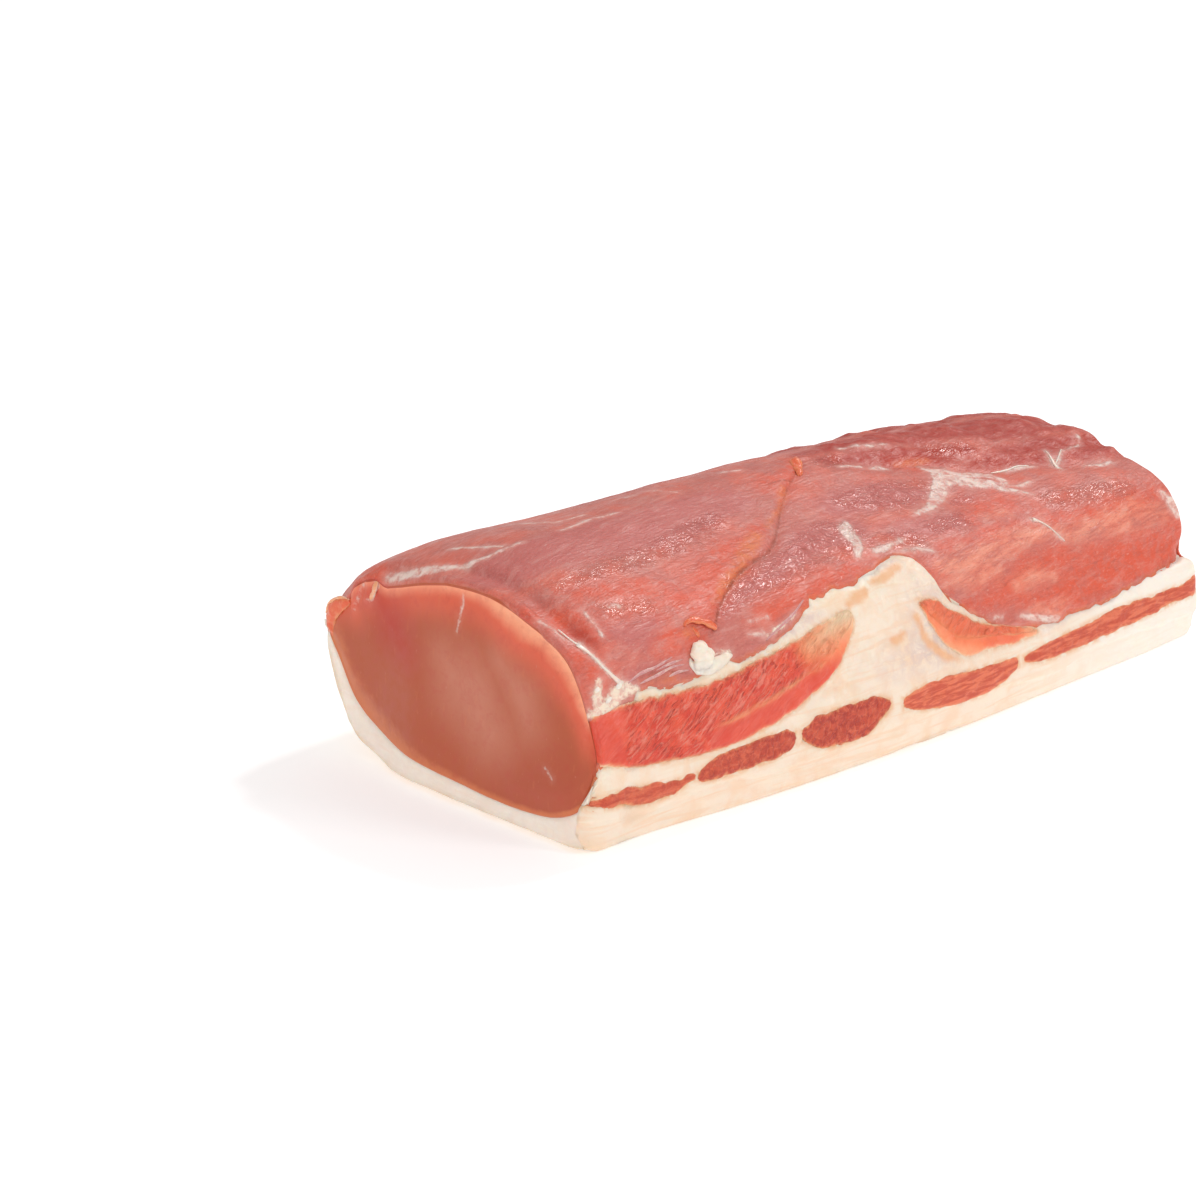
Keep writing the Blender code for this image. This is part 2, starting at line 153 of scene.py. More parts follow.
world = bpy.data.worlds.new("studio")
world.use_nodes = True
sky = world.node_tree
place = sky.nodes.new("ShaderNodeTexCoord")
height = sky.nodes.new("ShaderNodeSeparateXYZ")
level = sky.nodes.new("ShaderNodeMapRange")
level.inputs["To Min"].default_value = SKY_LOW
level.inputs["To Max"].default_value = SKY_HIGH
sky.links.new(place.outputs["Generated"], height.inputs[0])
sky.links.new(height.outputs["Z"], level.inputs["Value"])
sky.links.new(level.outputs["Result"], sky.nodes["Background"].inputs["Strength"])
sky.nodes["Background"].inputs["Color"].default_value = (1.0, 1.0, 1.0, 1.0)
bpy.context.scene.world = world

floor_data = bpy.data.meshes.new("floor")
corners = [(x * FLOOR_HALF, y * FLOOR_HALF, 0.0) for x, y in ((-1, -1), (1, -1), (1, 1), (-1, 1))]
floor_data.from_pydata(corners, [], [(0, 1, 2, 3)])
floor_object = bpy.data.objects.new("floor", floor_data)
bpy.context.scene.collection.objects.link(floor_object)
floor_paint = bpy.data.materials.new("pale floor")
floor_paint.use_nodes = True
for key, value in (("Base Color", FLOOR_TONE), ("Roughness", 0.9), ("Specular IOR Level", 0.1),
                   ("Emission Color", (1.0, 1.0, 1.0, 1.0)), ("Emission Strength", FLOOR_GLOW)):
    floor_paint.node_tree.nodes["Principled BSDF"].inputs[key].default_value = value
floor_data.materials.append(floor_paint)
floor_object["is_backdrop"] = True

# %% [markdown]
# ## The outside as one function
# Every piece lies on or in the same outside, so that comes first. Thirteen rails run the length of the
# loin. At any place along it they give thirteen points, and a closed smooth curve through those is the
# section. A point of the surface then has two numbers: its place *along* the loin, and how far *up* it
# is from the bottom corner of the belly side, walking on the surface. Fat edges, seams and silverskin
# are all placed with these two numbers, so they lie on the meat from whatever side it is seen.

# %% The rails
STATIONS = np.array([-140.0, -122.0, -80.0, 0.0, 80.0, 115.0, 140.0])
LEVEL = (0.0,) * 7
RAILS = (
    # name, across at each station, height at each station
    ("rest flat, belly side", (-20.5,) * 7, LEVEL),
    ("corner, from below", (-56.0, -56.5, -62.0, -67.5, -67.5, -67.5, -66.0), LEVEL),
    ("corner", (-57.0, -57.5, -63.0, -68.5, -68.5, -68.5, -67.0), (1.0,) * 7),
    ("top of the cap", (-57.5, -59.0, -63.0, -68.5, -66.5, -65.5, -66.5), (24, 24, 25, 25, 25, 26, 26)),
    ("ledge", (-57.5, -59.0, -62.5, -66.0, -60.5, -57.5, -56.5), (28, 29, 30, 31, 27, 27, 27)),
    ("wall", (-56.0, -57.5, -60.5, -62.0, -61.5, -61.5, -60.0), (36, 38, 40, 42, 36, 36, 35)),
    ("belly shoulder", (-45.5, -47.5, -49.5, -48.5, -50.5, -51.0, -51.5), (60, 61, 60, 56, 51, 51, 50.5)),
    ("top", (-25.5, -23.5, -23.5, -21.5, -19.5, -20.5, -21.5), (70, 74, 72.5, 67, 61, 61, 60.5)),
    ("crest", (0.5, 6.5, 6.5, 8.5, 9.5, 6.5, 4.5), (73.0, 76.8, 77.3, 75.2, 68.7, 64.5, 62.5)),
    ("chine shoulder", (49.5, 53.0, 47.0, 42.5, 42.5, 41.5, 38.5), (62.5, 63, 64, 61.5, 57, 55, 54)),
    ("chine side", (67.5, 68.8, 68.0, 67.0, 64.0, 62.0, 56.0), (43, 43, 40, 37, 34, 33, 31)),
    ("chine side, low", (57.0, 59.5, 59.0, 58.0, 55.5, 53.5, 49.5), (9.0,) * 7),
    ("rest flat, chine side", (32.5,) * 7, LEVEL),
)
RAIL_TABLE = np.array([rail[1:] for rail in RAILS], float)
CORNER, WALL, CHINE_SIDE, CHINE_LOW, REST_CHINE = 2, 5, 10, 11, 12
# Half the loin's length, before its foot swells.
HALF = 140.8


def eased(t, start, end, start_slope, end_slope):
    """The cubic that leaves start and reaches end with the given slopes, as t goes from 0 to 1."""
    return (
        (2 * t**3 - 3 * t**2 + 1) * start + (t**3 - 2 * t**2 + t) * start_slope
        + (3 * t**2 - 2 * t**3) * end + (t**3 - t**2) * end_slope
    )


def table_at(places, values, x):
    """Rows of values given at uneven places, read at x with a cubic that passes through them all."""
    places, values = np.asarray(places, float), np.asarray(values, float)
    slopes = np.gradient(values, places, axis=-1)
    x = np.clip(x, places[0], places[-1])
    i = np.clip(np.searchsorted(places, x) - 1, 0, len(places) - 2)
    span = places[i + 1] - places[i]
    t = (x - places[i]) / span
    return eased(t, values[..., i], values[..., i + 1], span * slopes[..., i], span * slopes[..., i + 1])


def read(rows, x):
    """Rows of (place, value), read at x along straight lines between them."""
    return np.interp(x, *np.transpose(rows))


def rails_at(along):
    """The thirteen (y, z) points of the section at each place: an array of places by rails by 2."""
    return np.moveaxis(table_at(STATIONS, RAIL_TABLE, along), 2, 0)


def smooth_lines(keys, per_span):
    """Centripetal Catmull-Rom through rows of key points. The first and the last only aim the curve."""
    knots = np.sqrt(np.linalg.norm(np.diff(keys, axis=1), axis=2))[:, :, None, None]
    t = np.linspace(0.0, 1.0, per_span, endpoint=False)[None, :, None]
    spans = []
    for i in range(keys.shape[1] - 3):
        p0, p1, p2, p3 = (keys[:, i + step, None] for step in range(4))
        d0, d1, d2 = (knots[:, i + step] for step in range(3))
        out_slope = ((p1 - p0) / d0 - (p2 - p0) / (d0 + d1) + (p2 - p1) / d1) * d1
        in_slope = ((p2 - p1) / d1 - (p3 - p1) / (d1 + d2) + (p3 - p2) / d2) * d1
        spans.append(eased(t, p1, p2, out_slope, in_slope))
    return np.concatenate(spans + [keys[:, -2:-1]], axis=1)


def read_rows(walk, line, distance):
    """Rows of a line read at rows of distances, all rows in one call by setting them end to end."""
    offset = np.arange(len(walk))[:, None] * 10000.0
    flat = (walk + offset).ravel()
    wanted = (distance + offset).ravel()
    read = [np.interp(wanted, flat, line[..., part].ravel()) for part in range(line.shape[2])]
    return np.stack(read, axis=-1).reshape(*distance.shape, line.shape[2])


def walked(line):
    """The distance walked along each row of points."""
    steps = np.linalg.norm(np.diff(line, axis=1), axis=2)
    return np.pad(np.cumsum(steps, axis=1), ((0, 0), (1, 0)))


# %% The outside, read by place along and distance up the wall
PER_SPAN = 24
# Once round from the corner and on past it to the top, so that the fat can be walked in one go.
LAP = (1, *range(2, 13), 0, 1, *range(2, 10))
SLOPE_REACH = 1.5


class Outside:
    """The outside of the loin at rows of places along it."""

    def __init__(self, along):
        self.along = along
        self.line = smooth_lines(rails_at(along)[:, LAP], PER_SPAN)
        self.line[..., 1] = np.maximum(self.line[..., 1], 0.0)
        self.walk = walked(self.line)
        self.lap = self.walk[:, len(RAILS) * PER_SPAN]

    def at(self, up):
        """The (y, z) points this far up the wall."""
        return read_rows(self.walk, self.line, up)

    def outward(self, up):
        """The direction out of the meat in the plane of the section."""
        run = self.at(up + SLOPE_REACH) - self.at(up - SLOPE_REACH)
        run /= np.linalg.norm(run, axis=2)[..., None]
        return np.stack([-run[..., 1], run[..., 0]], axis=-1)

    def chine_edge(self, drop):
        """How far up the wall, over the top, the chine side comes down to just under its rail."""
        height = rails_at(self.along)[:, CHINE_SIDE, 1] - drop
        over_top = self.line[:, :(REST_CHINE - CORNER) * PER_SPAN, 1] >= height[:, None]
        last = over_top.shape[1] - 1 - np.argmax(over_top[:, ::-1], axis=1)
        return self.walk[np.arange(len(self.along)), last]


probe = Outside(np.array([-100.0, 0.0, 100.0]))
print("once round the loin, mm:", np.round(probe.lap, 1))

# %% [markdown]
# ## Lumps
# Meat is never even. Random values at the corners of a cubic lattice, blended between the corners, give
# lumps of any wanted size. The values come from mixing the corner's whole numbers, so they are the same
# in every run.

# %% Lumps


def corner_value(x, y, z, seed):
    """A steady random value between -1 and 1 for each lattice corner."""
    mixed = (x * 374761393 + y * 668265263 + z * 1440662683 + seed * 974634777) & 0xFFFFFFFF
    mixed = ((mixed ^ (mixed >> 13)) * 1274126177) & 0xFFFFFFFF
    return (mixed ^ (mixed >> 16)) / 2147483648.0 - 1.0


def lumps(points, size, seed, octaves=1):
    """Smooth lumps about size across, from -1 to 1; each further octave is half the size and height."""
    total = np.zeros(len(points))
    for octave in range(octaves):
        place = points / (np.asarray(size) / 2**octave)
        cell = np.floor(place).astype(np.int64)
        part = place - cell
        part = part * part * (3.0 - 2.0 * part)
        value = np.zeros(len(points))
        for corner in range(8):
            step = np.array([corner & 1, corner >> 1 & 1, corner >> 2])
            share = np.prod(np.where(step == 1, part, 1.0 - part), axis=1)
            value += share * corner_value(*(cell + step).T, seed + octave)
        total += value / 2**octave
    return total


FARTHEST = 60.0


def stroke_gap(along, up, strokes):
    """How far each point of the surface is from the nearest painted stroke, in mm, below zero inside.
    A stroke is a list of (along, up, half width)."""
    place = np.stack([along, up], axis=-1)
    best = np.full(len(along), FARTHEST)
    for stroke in strokes:
        for start, end in zip(stroke[:-1], stroke[1:]):
            run = np.subtract(end[:2], start[:2])
            t = np.clip((place - start[:2]) @ run / (run @ run), 0.0, 1.0)
            away = np.linalg.norm(place - start[:2] - t[:, None] * run, axis=1)
            best = np.minimum(best, away - (start[2] + t * (end[2] - start[2])))
    return best


def spots(along, up, places):
    """Soft round or long spots, added up and kept under 1. A spot is (along, up, reach along, reach up,
    strength)."""
    total = np.zeros(len(along))
    for at_along, at_up, reach_along, reach_up, strength in places:
        away = ((along - at_along) / reach_along) ** 2 + ((up - at_up) / reach_up) ** 2
        total += strength * np.exp(-away)
    return np.clip(total, 0.0, 1.0)


def smooth_step(value, low, high):
    """From 0 at low to 1 at high, without a corner at either end."""
    t = np.clip((value - low) / (high - low), 0.0, 1.0)
    return t * t * (3.0 - 2.0 * t)


# %% [markdown]
# ## A closed body between two sheets
# Each piece of meat or fat is a body between an outer sheet that shows and an inner sheet that doesn't.
# The two meet along both long edges, and at the two cut ends a wall joins them, with as many rows as the
# cut needs. The hidden sheet is thinned to every fourth point away from the cuts, because nobody sees it.

# %% A closed body between two sheets
THINNED = 4
FULL_ROWS = 7


def slab(outer, inner, layers):
    """Points and triangles of the body between two sheets of n by m points, and each point's place
    (i, j, k) in them: k is 0 on the outer sheet and layers - 1 on the inner one."""
    n, m = outer.shape[:2]
    shown = np.zeros((n, m, layers), bool)
    shown[:, :, [0, -1]] = True
    shown[[0, -1]] = True
    shown[:, [0, -1], 1:] = False
    number = np.full(shown.shape, -1)
    number[shown] = np.arange(shown.sum())
    number[:, [0, -1], 1:] = number[:, [0, -1], :1]
    i, j, k = np.nonzero(shown)
    t = (k / (layers - 1))[:, None]
    points = outer[i, j] * (1.0 - t) + inner[i, j] * t
    coarse_i = np.clip(np.round(np.arange(n) / THINNED).astype(int) * THINNED, 1, n - 2)
    coarse_j = np.clip(np.round(np.arange(m) / THINNED).astype(int) * THINNED, 1, m - 2)
    inside = number[FULL_ROWS:-FULL_ROWS, 1:-1, -1]
    inside[:] = number[:, :, -1][np.ix_(coarse_i[FULL_ROWS:-FULL_ROWS], coarse_j[1:-1])].copy()
    sheets = (number[:, :, 0][::-1], number[:, :, -1], number[0][::-1], number[-1])
    triangles = np.concatenate([two_triangles(sheet) for sheet in sheets])
    whole = (triangles[:, 0] != triangles[:, 1]) & (triangles[:, 1] != triangles[:, 2])
    whole &= triangles[:, 2] != triangles[:, 0]
    triangles = triangles[whole]
    used, renumbered = np.unique(triangles, return_inverse=True)
    triangles = renumbered.reshape(-1, 3)
    return points[used], triangles, i[used], j[used], k[used]


def two_triangles(sheet):
    """The triangles of a grid of point numbers."""
    a, b, c, d = sheet[:-1, :-1], sheet[1:, :-1], sheet[1:, 1:], sheet[:-1, 1:]
    first = np.stack([a, b, c], axis=-1).reshape(-1, 3)
    second = np.stack([a, c, d], axis=-1).reshape(-1, 3)
    return np.concatenate([first, second])


def facing_out(points, triangles):
    """The triangles, turned over if together they enclose less than nothing."""
    a, b, c = (points[triangles[:, side]] for side in range(3))
    volume = np.einsum("ij,ij->i", a, np.cross(b, c)).sum() / 6.0
    return triangles if volume > 0.0 else triangles[:, ::-1]


def normals(points, triangles):
    """The direction out of the body at each point: the mean of its triangles, larger ones counting more."""
    a, b, c = (points[triangles[:, side]] for side in range(3))
    face = np.cross(b - a, c - a)
    total = np.zeros_like(points)
    for side in range(3):
        for part in range(3):
            total[:, part] += np.bincount(triangles[:, side], face[:, part], len(points))
    return total / np.maximum(np.linalg.norm(total, axis=1), 1e-12)[:, None]


def piece(name, points, triangles, fields, paint, replaced):
    """A smooth-shaded object from points in mm, with its fields as attributes, riding on the loin."""
    data = bpy.data.meshes.new(name)
    data.vertices.add(len(points))
    data.vertices.foreach_set("co", (points * MM).ravel())
    data.loops.add(triangles.size)
    data.loops.foreach_set("vertex_index", triangles.ravel())
    data.polygons.add(len(triangles))
    data.polygons.foreach_set("loop_start", np.arange(0, triangles.size, 3))
    data.update(calc_edges=True)
    data.shade_smooth()
    for field, values in fields.items():
        data.attributes.new(field, "FLOAT", "POINT").data.foreach_set("value", np.float32(values))
    data.validate()
    data.materials.append(paint)
    made = bpy.data.objects.new(name, data)
    bpy.context.scene.collection.objects.link(made)
    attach(made, "root")
    if replaced:
        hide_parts(*replaced)
    size = np.round(points.max(axis=0) - points.min(axis=0), 1)
    print(f"{name}: {len(points)} points, {len(triangles)} triangles, {size} mm")
    return made


# %% [markdown]
# ## Ends
# The knife went straight down through the loin, but meat gives: the foot of the fat stands a little
# forward at the near cut, both rims sink unevenly, the near one most on its chine side, and the rims of
# the lean are rounded over a millimetre, those of the soft fat over five or six.

# %% Ends
STEP_ALONG = 0.86
RIM_TURNS = np.radians([0.0, 15.0, 30.0, 45.0, 60.0, 75.0])
RIM_SHARE = 0.45
FAT_RIM = 5.5
FAR_SET_BACK = 1.2
NEAR_FOOT = 2.0
FOOT_HEIGHT = 16.0
END_RUN = 30.0
# The low part of the near cut bulges forward, from under the middle to the belly corner: how far, then
# where it starts and over what run it grows, across from each side, and the heights it fades out between.
FOOT_SWELL = 4.2
FOOT_CHINE_SIDE, FOOT_CHINE_RUN = 46.0, 26.0
FOOT_BELLY_SIDE, FOOT_BELLY_RUN = -64.0, 15.0
FOOT_FADE = (9.0, 32.0)
# How far the near rim sinks (distance up the wall, depth), fading out over the run.
NEAR_SINK = ((40, 0.2), (60, 0.9), (80, 1.4), (100, 0.8), (120, 1.3), (132, 2.8), (142, 4.2), (150, 4.6),
             (154, 1.8), (160, 1.2), (166, 1.6), (171, 3.8), (185, 2.0), (200, 0.0), (400, 0.0))
NEAR_SINK_RUN = 9.0
FAR_SINK = ((60, 0.2), (73, 0.7), (82, 2.0), (87, 0.6), (93, 2.2), (99, 0.3), (106, 0.9), (113, 2.8),
            (121, 1.4),
            (130, 1.7), (140, 1.2), (156, 0.0), (400, 0.0))
FAR_SINK_RUN = 22.0


def rows_along(rim):
    """Places of the rows along the loin, and how far each is drawn in to round the rims."""
    turn_in = rim * (1.0 - np.sin(RIM_TURNS))
    forward = rim * (1.0 - np.cos(RIM_TURNS))
    middle = np.linspace(-HALF + rim, HALF - rim, round(2 * HALF / STEP_ALONG))[1:-1]
    places = np.concatenate([-HALF + forward, middle, (HALF - forward)[::-1]])
    inset = np.concatenate([turn_in, np.zeros(len(middle)), turn_in[::-1]])
    return places, inset


def end_sink(along, up):
    """How far the surface sinks towards the two rims."""
    near = smooth_step(-HALF + NEAR_SINK_RUN - along, 0.0, NEAR_SINK_RUN) ** 1.5
    far = smooth_step(along, HALF - FAR_SINK_RUN, HALF)
    return near * read(NEAR_SINK, up) + far * read(FAR_SINK, up)


def ends_shaped(points):
    """Set the far end back a little and the foot of the fat forward at the near end."""
    x, z = points[..., 0], points[..., 2]
    far = np.clip(1.0 - (HALF - x) / END_RUN, 0.0, 1.0)
    near = np.clip(1.0 - (HALF + x) / END_RUN, 0.0, 1.0)
    y = points[..., 1]
    foot = smooth_step(FOOT_CHINE_SIDE - y, 0.0, FOOT_CHINE_RUN)
    foot = foot * smooth_step(y - FOOT_BELLY_SIDE, 0.0, FOOT_BELLY_RUN) * (1.0 - smooth_step(z, *FOOT_FADE))
    shaped = points.copy()
    forward = FOOT_SWELL * foot - NEAR_FOOT * np.clip(z / FOOT_HEIGHT, 0.0, 1.0)
    shaped[..., 0] = x - FAR_SET_BACK * far - forward * near
    return shaped


def in_space(along, flat):
    """Points (y, z) of each section put in their places along the loin."""
    x = np.broadcast_to(along[:, None, None], (*flat.shape[:2], 1))
    return ends_shaped(np.concatenate([x, flat], axis=2))


def body_between(along, outer, under, layers):
    """The slab between two sheets of sections: its points, its triangles, the directions out of it, and
    each point's place in the sheets."""
    points, triangles, *place = slab(in_space(along, outer), in_space(along, under), layers)
    triangles = facing_out(points, triangles)
    return points, triangles, normals(points, triangles), *place


def rounded(outer, under, inset):
    """Both sheets of each section drawn in along their own normals."""
    drawn = []
    for line, side in ((outer, 1.0), (under, -1.0)):
        run = np.gradient(line, axis=1)
        run /= np.maximum(np.linalg.norm(run, axis=2), 1e-9)[..., None]
        inward = side * np.stack([run[..., 1], -run[..., 0]], axis=-1)
        drawn.append(line + inset[:, None, None] * inward)
    return drawn


def evenly(line, shares):
    """Rows of points moved to even shares of each row's length."""
    walk = walked(line)
    return read_rows(walk, line, walk[:, -1:] * shares[None, :])


# %% [markdown]
# ## Where the fat stops
# The fat comes up the belly side, runs under the strips of rib lean, shows as a thin band above the long
# one, climbs to the shoulder in one broad patch, and drops again. Its thickness on the wall grows from
# the near cut to the far one.

# %% Where the fat stops
FAT_EDGE = (
    (-142, 26), (-130, 28.5), (-125, 41), (-121, 46.6), (-112, 45.6), (-103, 44.6), (-96, 45.2), (-90, 47),
    (-85, 47.6), (-79, 46.4), (-70, 46.4), (-62, 48.6), (-54, 51.2), (-46, 54.2), (-43, 55.4),
    (-41.4, 58.6), (-39.6, 57), (-36, 57.4), (-30, 58.2),
    (-20, 59), (-11, 61), (0, 63.6), (4, 64.2), (8, 63.2), (10.5, 61), (13, 54), (16, 46), (23, 37.5),
    (34, 30), (52, 24.3),
    (66, 22.9), (82, 23.3), (104, 24.5), (118, 25.6), (127, 27), (134, 29.5), (139, 33), (142, 35.5),
)
WALL_FAT = ((-142, 1.8), (-130, 2.2), (-100, 3), (-60, 4.5), (0, 6), (50, 6.5), (80, 8.5), (142, 10.5))
# How the fat thins out below its edge (distance below, share), and how thick it is by the bottom corner
# (distance up, thickness). Both only say how far its rim may be drawn in.
WALL_TAPER = ((0.0, 0.0), (2.5, 0.35), (10.0, 1.0))
CORNER_FAT = ((0.0, 4.5), (5.0, 12.0))
# The last bit of the fat dives under the lean's surface, so the edge that shows is a little lower.
EDGE_UNDER = 0.7
FAT_CHINE_DROP = 3.5
HEEL_IN, HEEL_Z = 4.5, 14.0
TOE_IN, TOE_Z = 14.0, 8.5
UNDERSIDE = ((-22.5, 6.2), (-1.0, 6.8), (19.5, 8.0))
# On the chine side the line climbs again: how far in from the low rail and how high, and last how far in
# from the chine rail and how far under it.
CLIMB = ((15.0, 11.5), (3.5, 17.8))
CHINE_IN, CHINE_UNDER = 4.5, 10.5
# So far below its edge on the wall, the fat is at most so thick.
BELOW_EDGE, EDGE_FAT = 2.5, 1.4


def fat_edge(along):
    """How far up the wall the fat comes, with a ragged edge."""
    flat = np.ravel(along)
    line = np.stack([flat, np.zeros_like(flat), np.zeros_like(flat)], axis=-1)
    ragged = 0.8 * lumps(line, 5.0, 11, octaves=3) + 0.6 * lumps(line, 14.0, 12)
    return read(FAT_EDGE, along) + EDGE_UNDER + ragged.reshape(np.shape(along))


def fat_rim(along, up):
    """How far the rim of the fat is drawn in, in mm: a quarter circle over the last millimetres, but less
    where the fat is thin, as it is up the wall and under the loin."""
    from_end = np.clip(HALF - np.abs(along), 0.0, FAT_RIM)
    circle = FAT_RIM - np.sqrt(from_end * (2.0 * FAT_RIM - from_end))
    below = fat_edge(along) - up
    on_wall = read(WALL_FAT, along) * read(WALL_TAPER, below)
    by_corner = read(CORNER_FAT, up)
    thick = by_corner + (on_wall - by_corner) * smooth_step(up, 12.0, 24.0)
    return np.minimum(circle, RIM_SHARE * thick)


def underside(out, edge, chine, shares):
    """The line in each section where the eye muscle lies on the fat, from belly edge to chine edge."""
    rails = rails_at(out.along)
    thick = read(WALL_FAT, out.along)
    corner_y, low_y = rails[:, CORNER, 0], rails[:, CHINE_LOW, 0]
    side = rails[:, CHINE_SIDE]
    ups = np.stack([edge, edge - BELOW_EDGE, 0.5 * (edge + HEEL_Z), np.full_like(edge, HEEL_Z), chine],
                   axis=1)
    on_wall, outward = out.at(ups), out.outward(ups)

    def sunk(column, depth):
        return on_wall[:, column] - outward[:, column] * depth[:, None]

    def level(y, z):
        return np.stack([y + np.zeros_like(edge), z + np.zeros_like(edge)], axis=1)

    keys = [
        on_wall[:, 0], sunk(1, np.minimum(EDGE_FAT, thick)), sunk(2, thick),
        level(on_wall[:, 3, 0] + np.maximum(HEEL_IN, thick), HEEL_Z), level(corner_y + TOE_IN, TOE_Z),
        *(level(y, z) for y, z in UNDERSIDE),
        *(level(low_y - inward, z) for inward, z in CLIMB),
        level(side[:, 0] - CHINE_IN, side[:, 1] - CHINE_UNDER),
        on_wall[:, 4],
    ]
    keys = np.stack([2 * keys[0] - keys[1], *keys, 2 * keys[-1] - keys[-2]], axis=1)
    return evenly(smooth_lines(keys, 8), shares)


# %% [markdown]
# ## Paint
# A material here is a small tree of nodes. Two kinds of thing steer it: fields kept on the mesh, such as
# the distance to the nearest silverskin, and noise read from the place in space. A field changes slowly
# from point to point, so a threshold on it gives an edge much finer than the mesh, and noise added just
# before the threshold makes that edge ragged. All tissues share that effect, so it is a node group.

# %% Node helpers


class Tree:
    """Adds nodes to a tree. Every call gives back the new node's first output."""

    def __init__(self, tree):
        self.tree = tree

    def feed(self, socket, value):
        """Link a socket, or set a plain value."""
        if isinstance(value, bpy.types.NodeSocket):
            self.tree.links.new(value, socket)
        elif value is not None:
            socket.default_value = value

    def node(self, kind, *values, sockets=None, **settings):
        """A node with its settings, and its inputs fed in order or by name."""
        made = self.tree.nodes.new(kind)
        for key, setting in settings.items():
            setattr(made, key, setting)
        for socket, value in zip(made.inputs, values):
            self.feed(socket, value)
        for name, value in (sockets or {}).items():
            self.feed(made.inputs[name], value)
        return made

    def math(self, operation, *values):
        return self.node("ShaderNodeMath", *values, operation=operation).outputs[0]

    def times(self, *values):
        return self.math("MULTIPLY", *values)

    def plus(self, *values):
        return self.math("ADD", *values)

    def remap(self, value, low, high, to_low=0.0, to_high=1.0):
        """From to_low at low to to_high at high, smoothly, and level outside."""
        ends = {"From Min": low, "From Max": high, "To Min": to_low, "To Max": to_high}
        node = self.node("ShaderNodeMapRange", interpolation_type="SMOOTHSTEP",
                         sockets={"Value": value, **ends})
        return node.outputs["Result"]

    def mix(self, share, first, second):
        """A colour between two."""
        node = self.tree.nodes.new("ShaderNodeMix")
        node.data_type = "RGBA"
        for place, part in ((0, share), (6, first), (7, second)):
            self.feed(node.inputs[place], part)
        return node.outputs[2]

    def coats(self, colour, *coats):
        """A colour under coats of others, each laid on by its share."""
        for share, tone in coats:
            colour = self.mix(share, colour, tone)
        return colour

    def noise(self, place, size, detail=2.0, rough=0.5, bend=0.0):
        """Noise with lumps about size mm across, from 0 to 1."""
        scale = 1.0 / size if isinstance(size, float) else self.math("DIVIDE", 1.0, size)
        shape = {"Scale": scale, "Detail": detail, "Roughness": rough, "Distortion": bend}
        return self.node("ShaderNodeTexNoise", sockets={"Vector": place, **shape}).outputs[0]

    def stretched(self, place, turn, stretch):
        """The place, turned and squeezed, so that noise read from it runs in long streaks."""
        turn = [math.radians(part) for part in turn]
        sockets = {"Vector": place, "Rotation": turn, "Scale": stretch}
        return self.node("ShaderNodeMapping", vector_type="TEXTURE", sockets=sockets).outputs[0]

    def field(self, name):
        """A number kept on the mesh's points."""
        return self.node("ShaderNodeAttribute", attribute_name=name).outputs["Fac"]

    def millimetres(self):
        """The place on the piece in mm, before it moves."""
        place = self.node("ShaderNodeTexCoord").outputs["Object"]
        sockets = {"Vector": place, "Scale": 1.0 / MM}
        return self.node("ShaderNodeVectorMath", operation="SCALE", sockets=sockets).outputs[0]


NUMBER, VECTOR = "NodeSocketFloat", "NodeSocketVector"

# %% The ragged edge, and the bases of all tissues


def ragged_edge():
    """A node group: how much of a zone shows where its edge is a gap of so many mm away. Noise with tears
    of a size moves the gap before it is cut off softly."""
    group = bpy.data.node_groups.new("ragged edge", "ShaderNodeTree")
    for label, kind, value in (("Place", VECTOR, None), ("Gap", NUMBER, 0.0), ("Ragged", NUMBER, 1.5),
                               ("Soft", NUMBER, 0.4), ("Size", NUMBER, 4.0)):
        socket = group.interface.new_socket(name=label, in_out="INPUT", socket_type=kind)
        if value is not None:
            socket.default_value = value
    group.interface.new_socket(name="Mask", in_out="OUTPUT", socket_type=NUMBER)
    tree = Tree(group)
    given = tree.node("NodeGroupInput").outputs
    tear = tree.noise(given["Place"], given["Size"], 4.0, 0.6)
    moved = tree.times(tree.math("SUBTRACT", tear, 0.5), given["Ragged"])
    moved = tree.plus(given["Gap"], tree.times(moved, 2.0))
    mask = tree.remap(moved, given["Soft"], tree.times(given["Soft"], -1.0))
    tree.node("NodeGroupOutput", mask)
    return group


RAGGED = ragged_edge()
FLESH_RADIUS = (1.0, 0.35, 0.22)
FAT_RADIUS = (1.0, 0.62, 0.42)


def tissue(name, rough, gloss, depth, radius, share):
    """A moist material: its roughness, how strongly it shines, and how far light goes in, in mm."""
    paint = bpy.data.materials.new(name)
    paint.use_nodes = True
    shader = paint.node_tree.nodes["Principled BSDF"]
    for key, value in (("Roughness", rough), ("Specular IOR Level", gloss), ("Subsurface Weight", share),
                       ("Subsurface Radius", radius), ("Subsurface Scale", depth * MM)):
        shader.inputs[key].default_value = value
    return paint, Tree(paint.node_tree), shader


def bump(tree, height, shader, strength):
    """Fine relief: height in mm into the shader's normal."""
    node = tree.node("ShaderNodeBump", sockets={"Strength": strength, "Distance": MM, "Height": height})
    tree.feed(shader.inputs["Normal"], node.outputs[0])


def zone(tree, place, field, torn, soft, size, grown=0.0):
    """How much of a zone shows at each place: 1 inside its strokes and 0 outside. The edge is torn by so
    many mm, in tears of a size in mm, and soft over a run in mm. The zone may be grown by some mm."""
    gap = tree.plus(tree.field(field), -grown) if grown else tree.field(field)
    sockets = {"Place": place, "Gap": gap, "Ragged": torn, "Soft": soft, "Size": size}
    return tree.node("ShaderNodeGroup", node_tree=RAGGED, sockets=sockets).outputs[0]


